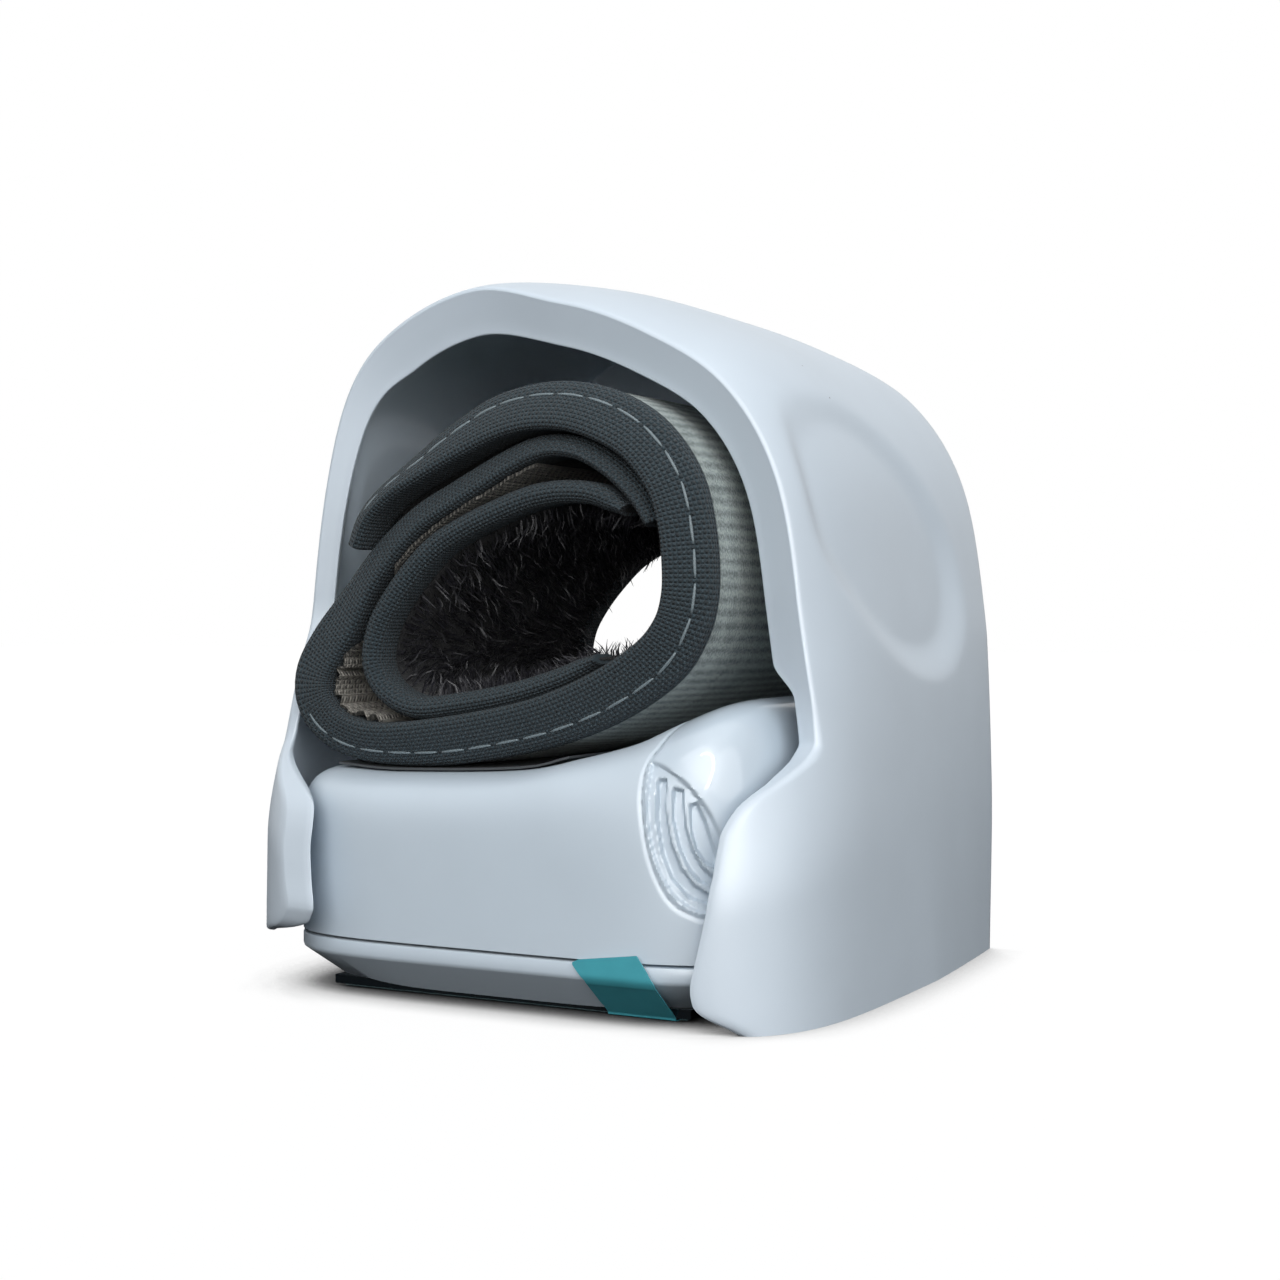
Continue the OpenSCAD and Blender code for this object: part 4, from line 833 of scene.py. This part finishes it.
def makeCuff():
    s = cuffSettings
    pieces = []
    rng = np.random.default_rng(7)
    strip = denseStrip(s["strip"], 0.9)
    along = lengthsAlong(strip)
    fold = pointMarks(s["strip"])[s["foldAt"]]
    # soft unevenness: the strip is never a perfect ruled surface
    wob = np.cumsum(rng.normal(0, 1, len(strip)))
    wob = np.convolve(wob - np.linspace(wob[0], wob[-1], len(wob)), np.ones(9) / 9, "same")
    wob = wob / (np.abs(wob).max() + 1e-9)
    inner = smooth((along - fold + 6) / 18)          # 0 on the outer wrap, 1 on the inner one
    # the tape slopes less at the loose end and where the strip folds back
    slope = between(s["tapeSlope"], inner)
    slope = slope * (0.35 + 0.65 * smooth(along / 14)) * (1 - 0.75 * np.exp(-((along - fold) / 10) ** 2))
    front = s["front"] + s["recess"] * inner + s["waver"] * wob
    back = s["back"] - s["recess"] * inner - s["waver"] * wob

    def bodyProfile(i):
        h = strip[i, 2] - s["bodyInset"]
        y0, y1 = front[i] + slope[i] * 0.75 + 1.0, back[i] - 3.0
        r = min(0.7, h * 0.6)
        low = smooth((44 - strip[i, 1]) / 6)
        swell = between(s["swell"], low) * (1 - inner[i]) * smooth(along[i] / 20)
        ys = np.linspace(y0 + r, y1 - r, 25)
        pr = [(h + swell * math.sin(math.pi * (y - ys[0]) / (ys[-1] - ys[0])) ** 0.6, y) for y in ys]
        pr += [(h - r * 0.3, y1 - r * 0.3), (h - r, y1), (-h + r, y1), (-h + r * 0.3, y1 - r * 0.3)]
        pr += [(-h, y) for y in np.linspace(y1 - r, front[i] + 2.6, 25)]
        return pr + [(-h + r, front[i] + 2.0), (h - r, y0 - 0.2)]
    body = sweep("cuffStrip", strip, bodyProfile, finishes["loops"])
    body.data.materials.append(finishes["pileBase"])
    body.data.materials.append(finishes["tape"])
    # plush on the faces turned to the roll's inside, tape across both ends
    m = len(bodyProfile(0))
    index = np.zeros(len(body.data.polygons), int)
    for r in range(len(strip) - 1):
        index[r * m + 27:r * m + m - 2] = 1
        if along[r] < s["endTape"] or along[r] > along[-1] - s["endTape"]:
            index[r * m:(r + 1) * m] = 2
    body.data.polygons.foreach_set("material_index", index.tolist())
    pieces.append(body)

    def tapeProfile(i, side):
        # side 1 is the visible front; the back edge is bound the same way, mirrored
        h, t, w = strip[i, 2], s["tapeThick"], s["tapeInner"]
        sl = slope[i]
        e = front[i] if side > 0 else back[i]
        pts = [(-h + 0.1, w + 0.5), (-h - t * 0.55, w + 0.15), (-h - t, w - 0.4)]
        pts += [(-h - t, y) for y in np.linspace(w - 1.2, 1.5, 5)]
        pts += [(-h - t * 0.8, 0.75), (-h - t * 0.25, 0.25), (-h + 0.35, 0.03)]
        # the stitches pull a groove into the thick wrap's face
        dip = s["stitchInset"] / max(2 * h, 1)
        for q in np.linspace(0.10, 0.93, 12):
            groove = 0.16 * math.exp(-((q - (1 - dip)) / 0.05) ** 2) if h > 1.9 else 0.0
            pts.append((-h + 2 * h * q, tapeDepth(sl, q) + groove))
        pts += [(h + t * 0.55, sl * 1.02 + 0.35), (h + t, sl + 1.2), (h + t, sl + 2.2),
                (h + t * 0.6, sl + 2.75), (h - 0.2, sl + 3.0), (h - 0.9, sl + 2.8), (-h + 0.7, w)]
        return [(n, e + side * y) for n, y in pts]
    for label, side in (("cuffTapeFront", 1), ("cuffTapeBack", -1)):
        pieces.append(sweep(label, strip, lambda i: tapeProfile(i, side), finishes["tape"]))

    # running stitches along the front tape of the outer wrap
    verts, faces = [], []
    outward = -rightSide(strip)
    steps, ring = 7, 7      # sections along a stitch, and points round each
    at = 5.0
    while at + s["stitch"] < fold:
        base = len(verts)
        for k, d in enumerate(np.linspace(at, at + s["stitch"], steps)):
            x, z, h = (np.interp(d, along, strip[:, j]) for j in range(3))
            o = np.array([np.interp(d, along, outward[:, j]) for j in range(2)])
            o /= np.linalg.norm(o)
            sl, f = np.interp(d, along, slope), np.interp(d, along, front)
            q = 1 - s["stitchInset"] / max(2 * h, 1) if h > 1.9 else 0.62
            lift = 0.13 * math.sin(math.pi * k / 6) - 0.09
            n = -h + 2 * h * q
            mid = np.array([x + o[0] * n, f + tapeDepth(sl, q) - lift + 0.08, z + o[1] * n])
            tilt = math.atan2(sl, 2 * h)
            # thinner at both ends, where the thread goes into the tape
            radius = s["stitchRadius"] * (0.55 + 0.45 * math.sin(math.pi * (k + 0.6) / 7.2))
            for a in np.linspace(0, 2 * math.pi, ring, endpoint=False):
                u, v = math.cos(a) * radius * 1.35, math.sin(a) * radius
                up = u * math.cos(tilt) + v * math.sin(tilt)
                verts.append(mid + np.array([o[0] * up, u * math.sin(tilt) - v * math.cos(tilt), o[1] * up]))
        faces += [tuple(base + i for i in face) for face in gridFaces(steps, ring, closeCols=True)]
        end = base + (steps - 1) * ring
        faces += [tuple(range(base, base + ring)), tuple(reversed(range(end, end + ring)))]
        at += s["stitch"] + s["stitchGap"] + rng.uniform(-0.1, 0.15)
    thread = meshFrom("cuffStitches", verts, faces, finishes["thread"])
    faceOutwards(thread)
    pieces.append(thread)

    # lining strip: thin, taped at both edges, napped on its inner side
    lining = denseStrip(s["lining"], 0.9)
    la = lengthsAlong(lining)
    fromEnd = smooth(np.minimum(la, la[-1] - la) / 3)      # it thins out at both ends

    def liningBody(i):
        h = lining[i, 2] * (0.5 + 0.5 * fromEnd[i]) - s["liningInset"]
        y0, y1 = s["front"] + 3.0, s["back"] - 3.0
        over, under = np.linspace(y0, y1, 22), np.linspace(y1, y0, 22)
        return [(h, y) for y in over] + [(0, y1 + 0.6)] + [(-h, y) for y in under] + [(0, y0 - 0.6)]
    pieces.append(sweep("liningStrip", lining, liningBody, finishes["pileBase"]))

    def liningTape(i, side):
        h = lining[i, 2] * (0.55 + 0.45 * fromEnd[i])
        e = s["front"] + 0.9 if side > 0 else s["back"] - 0.9
        w = s["liningTape"]
        pts = [(-h + 0.3, w), (-h - 0.05, w - 0.2), (-h - 0.28, w - 0.8), (-h - 0.3, 1.4), (-h * 0.75, 0.5),
               (-h * 0.25, 0.08), (h * 0.3, 0.1), (h * 0.8, 0.6), (h + 0.25, 1.5), (h + 0.28, w - 0.9),
               (h + 0.02, w - 0.2), (h - 0.3, w)]
        return [(n, e + side * y) for n, y in pts]
    for label, side in (("liningTapeFront", 1), ("liningTapeBack", -1)):
        pieces.append(sweep(label, lining, lambda i: liningTape(i, side), finishes["tape"]))

    # spacer mesh facing the strip's inner side, seen in the gap beside the lining
    net = denseStrip(s["mesh"], 0.7)
    na = lengthsAlong(net)

    def netProfile(i):
        # gathered into ribs in the pocket at the lower left, drawn back where the two strips close on it
        h = net[i, 2]
        pocket = 1 - smooth((na[i] - 13) / 5)
        rib = (0.10 + 0.5 * pocket) * math.sin(na[i] * 2 * math.pi / (2.0 + 0.4 * math.sin(na[i])))
        narrow = smooth((na[i] - 15) / 4) * (1 - smooth((na[i] - 26) / 5))
        y0, y1 = s["front"] + 1.7 + 3.5 * narrow, s["back"] - 1.7 - 3.5 * narrow
        over, under = np.linspace(y0 + 0.3, y1, 16), np.linspace(y1, y0, 16)
        return [(h + rib, y) for y in over] + [(-h + rib, y) for y in under]
    pieces.append(sweep("meshFacing", net, netProfile, finishes["meshCloth"]))
    return pieces, strip, lining, net

cuffPieces, stripPath, liningPath, netPath = makeCuff()
print("stage: cuff strips,", sum(len(p.data.polygons) for p in cuffPieces), "faces")

# loose pile standing on the lining's inner side and on the outer wrap's inner side
def makePile():
    s = cuffSettings
    rng = np.random.default_rng(11)
    # base points and the directions in which the fibres stand, on both strips
    marks = pointMarks(s["strip"])
    base, inwards = [], []
    for path, inset, start, stop in ((liningPath, s["liningInset"], 1.5, lengthsAlong(liningPath)[-1] - 0.5),
                                     (stripPath, s["bodyInset"], marks[11] - 2, marks[19] + 1)):
        out = -rightSide(path)
        d = lengthsAlong(path)
        use = (d > start) & (d < stop)
        base.append((path[:, :2] - out * (path[:, 2] - inset)[:, None])[use])
        inwards.append(-out[use])
    base, inwards = np.vstack(base), np.vstack(inwards)
    n = s["fibres"]
    pick = rng.integers(0, len(base) - 1, n)
    jitter = rng.uniform(0, 1, n)
    step = base[pick + 1] - base[pick]
    near = np.linalg.norm(step, axis=1) < 3
    p = base[pick] + step * (jitter * near)[:, None]
    y = rng.uniform(s["front"] + 6.4, s["back"] - 6.6, n)
    length = rng.uniform(*s["fibreLength"], n)
    # tufts lie in drifts: a slow noise in place turns the lean of neighbouring fibres the same way
    drift = np.sin(y * 0.55 + pick * 0.13) + np.sin(y * 0.21 - pick * 0.31 + 1.3)
    lean = np.stack([0.5 * drift + rng.normal(0, 0.45, n), -0.35 + rng.normal(0, 0.55, n)], 1)
    verts, faces = [], []
    for i in range(n):
        up = np.array([inwards[pick[i], 0], 0, inwards[pick[i], 1]])
        side = np.array([-up[2], 0, up[0]])
        root = np.array([p[i, 0], y[i], p[i, 1]])
        tip = up + side * lean[i, 0] + np.array([0, 1, 0]) * lean[i, 1]
        tip /= np.linalg.norm(tip)
        bend = up * 0.75 + tip * 0.25
        mid = root + bend / np.linalg.norm(bend) * length[i] * 0.5
        end = mid + tip * length[i] * 0.5 - up * 0.1
        w = rng.normal(0, 1, 3)
        w -= w.dot(tip) * tip
        w *= s["fibreWidth"] / (np.linalg.norm(w) + 1e-9)
        b = len(verts)
        verts += [root - w, root + w, mid - w * 0.8, mid + w * 0.8, end - w * 0.12, end + w * 0.12]
        faces += [(b, b + 1, b + 3, b + 2), (b + 2, b + 3, b + 5, b + 4)]
    return meshFrom("pileFibres", verts, faces, finishes["fibre"])

pileFibres = makePile()
cuffPieces.append(pileFibres)
for piece in cuffPieces:
    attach(piece, "monitor")
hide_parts("cuff_cover")
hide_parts("cuff_lining")
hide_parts("cuff_mesh")
print("stage: pile,", len(pileFibres.data.polygons), "faces")

# carried-over solids: finishes, and a small edge rounding
innerSettings = {
    "lens": ["display_lens"], "lcd": ["lcd_panel"], "silicone": ["contact_strips", "button_mat", "air_tube"],
    "button": ["start_button", "memory_button", "set_button"], "board": ["circuit_board"],
    "steel": ["pump_motor", "battery_springs", "battery_plates", "board_screws"],
    "darkNylon": ["pump_head", "release_valve", "pressure_sensor", "air_nipple", "beeper", "cuff_plate"],
    "cell": ["battery_lower", "battery_upper"], "bladder": ["cuff_bladder"], "curler": ["cuff_curler"],
}
for key, names in innerSettings.items():
    for name in names:
        obj = bpy.data.objects[name]
        obj.data.materials.clear()
        obj.data.materials.append(finishes[key])
        if name not in ("battery_springs", "air_tube", "cuff_bladder", "cuff_curler"):
            roundEdges(obj, 0.15, 50)
print("stage: inner parts finished")

# floor, soft lamps and white surround
lightSettings = {
    # the surround's level before and behind the object, and low down and high up, each between two directions
    "front": 0.5, "behind": 0.05, "depthRange": (-0.15, 0.45),
    "low": 0.22, "up": 1.1, "riseRange": (0.0, 0.5),
    "areas": [  # name, place, aim, size in mm, watts
        ("skyPanel", (120, -60, 620), (0, 0, 40), 700, 0.8),
        ("rightPanel", (640, -240, 190), (0, 0, 45), 600, 1.7),
        ("frontPanel", (180, -580, 330), (0, 0, 50), 700, 3.2),
    ],
    # part of a ring lamp above the lens, seen only in reflections
    "ring": {"radius": 100, "thick": 8, "strength": 24, "raise": 110, "arc": (-165, 100)},
    # what the table sends back up to the object, its own glow, and where that goes out near the object
    "table": "#1c1d1f", "tableHalf": 3000, "glow": 0.97, "shadeMm": 14, "shadeRange": (0.2, 0.72),
}

def makeLights():
    s = lightSettings
    world = bpy.data.worlds.new("softSurround")
    bpy.context.scene.world = world
    world.use_nodes = True
    tree = world.node_tree
    back = tree.nodes["Background"]
    back.inputs["Color"].default_value = hexColour("#ffffff")
    ray = addNode(tree, "LightPath")
    seen = ray.outputs["Is Camera Ray"]
    for kind in ("Is Glossy Ray", "Is Transmission Ray"):
        seen = addNode(tree, "Math", {"operation": "MAXIMUM"}, {0: seen, 1: ray.outputs[kind]})
    # dimmer behind the object, so that the inside of the arch falls into shade
    place = addNode(tree, "TexCoord")
    axes = addNode(tree, "SeparateXYZ", {}, {0: place.outputs["Generated"]})
    near, far = s["depthRange"]
    depth = addNode(tree, "MapRange", {"interpolation_type": "SMOOTHSTEP", 1: near, 2: far, 3: s["front"],
                                       4: s["behind"]}, {0: axes.outputs["Y"]})
    # and dimmer towards the table's far edge, so that undersides stay dark
    near, far = s["riseRange"]
    rise = addNode(tree, "MapRange", {"interpolation_type": "SMOOTHSTEP", 1: near, 2: far, 3: s["low"],
                                      4: s["up"]}, {0: axes.outputs["Z"]})
    part = addNode(tree, "Math", {"operation": "MULTIPLY"}, {0: depth, 1: rise})
    level = addNode(tree, "Mix", {"data_type": "FLOAT", 3: 1.0}, {0: seen, 2: part})
    tree.links.new(level.outputs[0], back.inputs["Strength"])
    for name, place, aim, size, watts in s["areas"]:
        data = bpy.data.lights.new(name, "AREA")
        data.shape, data.size, data.energy = "DISK", size * mm, watts
        lamp = bpy.data.objects.new(name, data)
        bpy.context.scene.collection.objects.link(lamp)
        lamp.location = Vector(place) * mm
        lamp.rotation_mode = "QUATERNION"
        lamp.rotation_quaternion = (Vector(aim) - Vector(place)).to_track_quat("-Z", "Y")

makeLights()

def makeRingLamp():
    s = lightSettings["ring"]
    mat = bpy.data.materials.new("ringLampGlow")
    mat.use_nodes = True
    tree = mat.node_tree
    glow = addNode(tree, "Emission", {"Color": (1, 1, 1, 1), "Strength": s["strength"]})
    tree.links.new(glow.outputs[0], tree.nodes["Material Output"].inputs["Surface"])
    rows, cols = 48, 10
    verts = []
    for a in np.radians(np.linspace(s["arc"][0], s["arc"][1], rows)):
        for b in np.linspace(0, 2 * math.pi, cols, endpoint=False):
            r = s["radius"] + s["thick"] * math.cos(b)
            verts.append((r * math.cos(a), r * math.sin(a), s["thick"] * math.sin(b)))
    ring = meshFrom("ringLamp", verts, gridFaces(rows, cols, closeCols=True), mat)
    ring.location = (Vector(cameraSettings["place"]) + Vector((0, 0, s["raise"]))) * mm
    ring.rotation_mode = "QUATERNION"
    ring.rotation_quaternion = bpy.context.scene.camera.rotation_quaternion
    ring.visible_camera = ring.visible_diffuse = ring.visible_shadow = ring.visible_transmission = False

makeRingLamp()

def makeFloor():
    # white table top: pure white to the camera where lit, darker only where the object shades it
    s = lightSettings
    mat, tree, shader = newMaterial("whiteTableLaminate", {"Roughness": 0.9, "Specular IOR Level": 0.1})
    shader.inputs["Base Color"].default_value = hexColour(s["table"])
    # the glow goes out under the object's edge, where no light gets in
    shade = addNode(tree, "AmbientOcclusion", {"samples": 8, "Distance": s["shadeMm"] * mm})
    dark, lit = s["shadeRange"]
    level = addNode(tree, "MapRange", {1: dark, 2: lit, 3: 0.0, 4: s["glow"]}, {0: shade.outputs["AO"]})
    glow = addNode(tree, "Emission", {"Color": (1, 1, 1, 1)}, {"Strength": level})
    both = addNode(tree, "AddShader", {}, {0: shader, 1: glow})
    ray = addNode(tree, "LightPath")
    pick = addNode(tree, "MixShader", {}, {0: ray.outputs["Is Camera Ray"], 1: shader, 2: both})
    tree.links.new(pick.outputs[0], tree.nodes["Material Output"].inputs["Surface"])
    w = s["tableHalf"]
    floor = meshFrom("tableTop", [(-w, -w, 0), (w, -w, 0), (w, w, 0), (-w, w, 0)], [(0, 1, 2, 3)], mat,
                     smoothFaces=False)

makeFloor()
bpy.context.scene.view_settings.view_transform = "Standard"
print("stage: lights and floor")
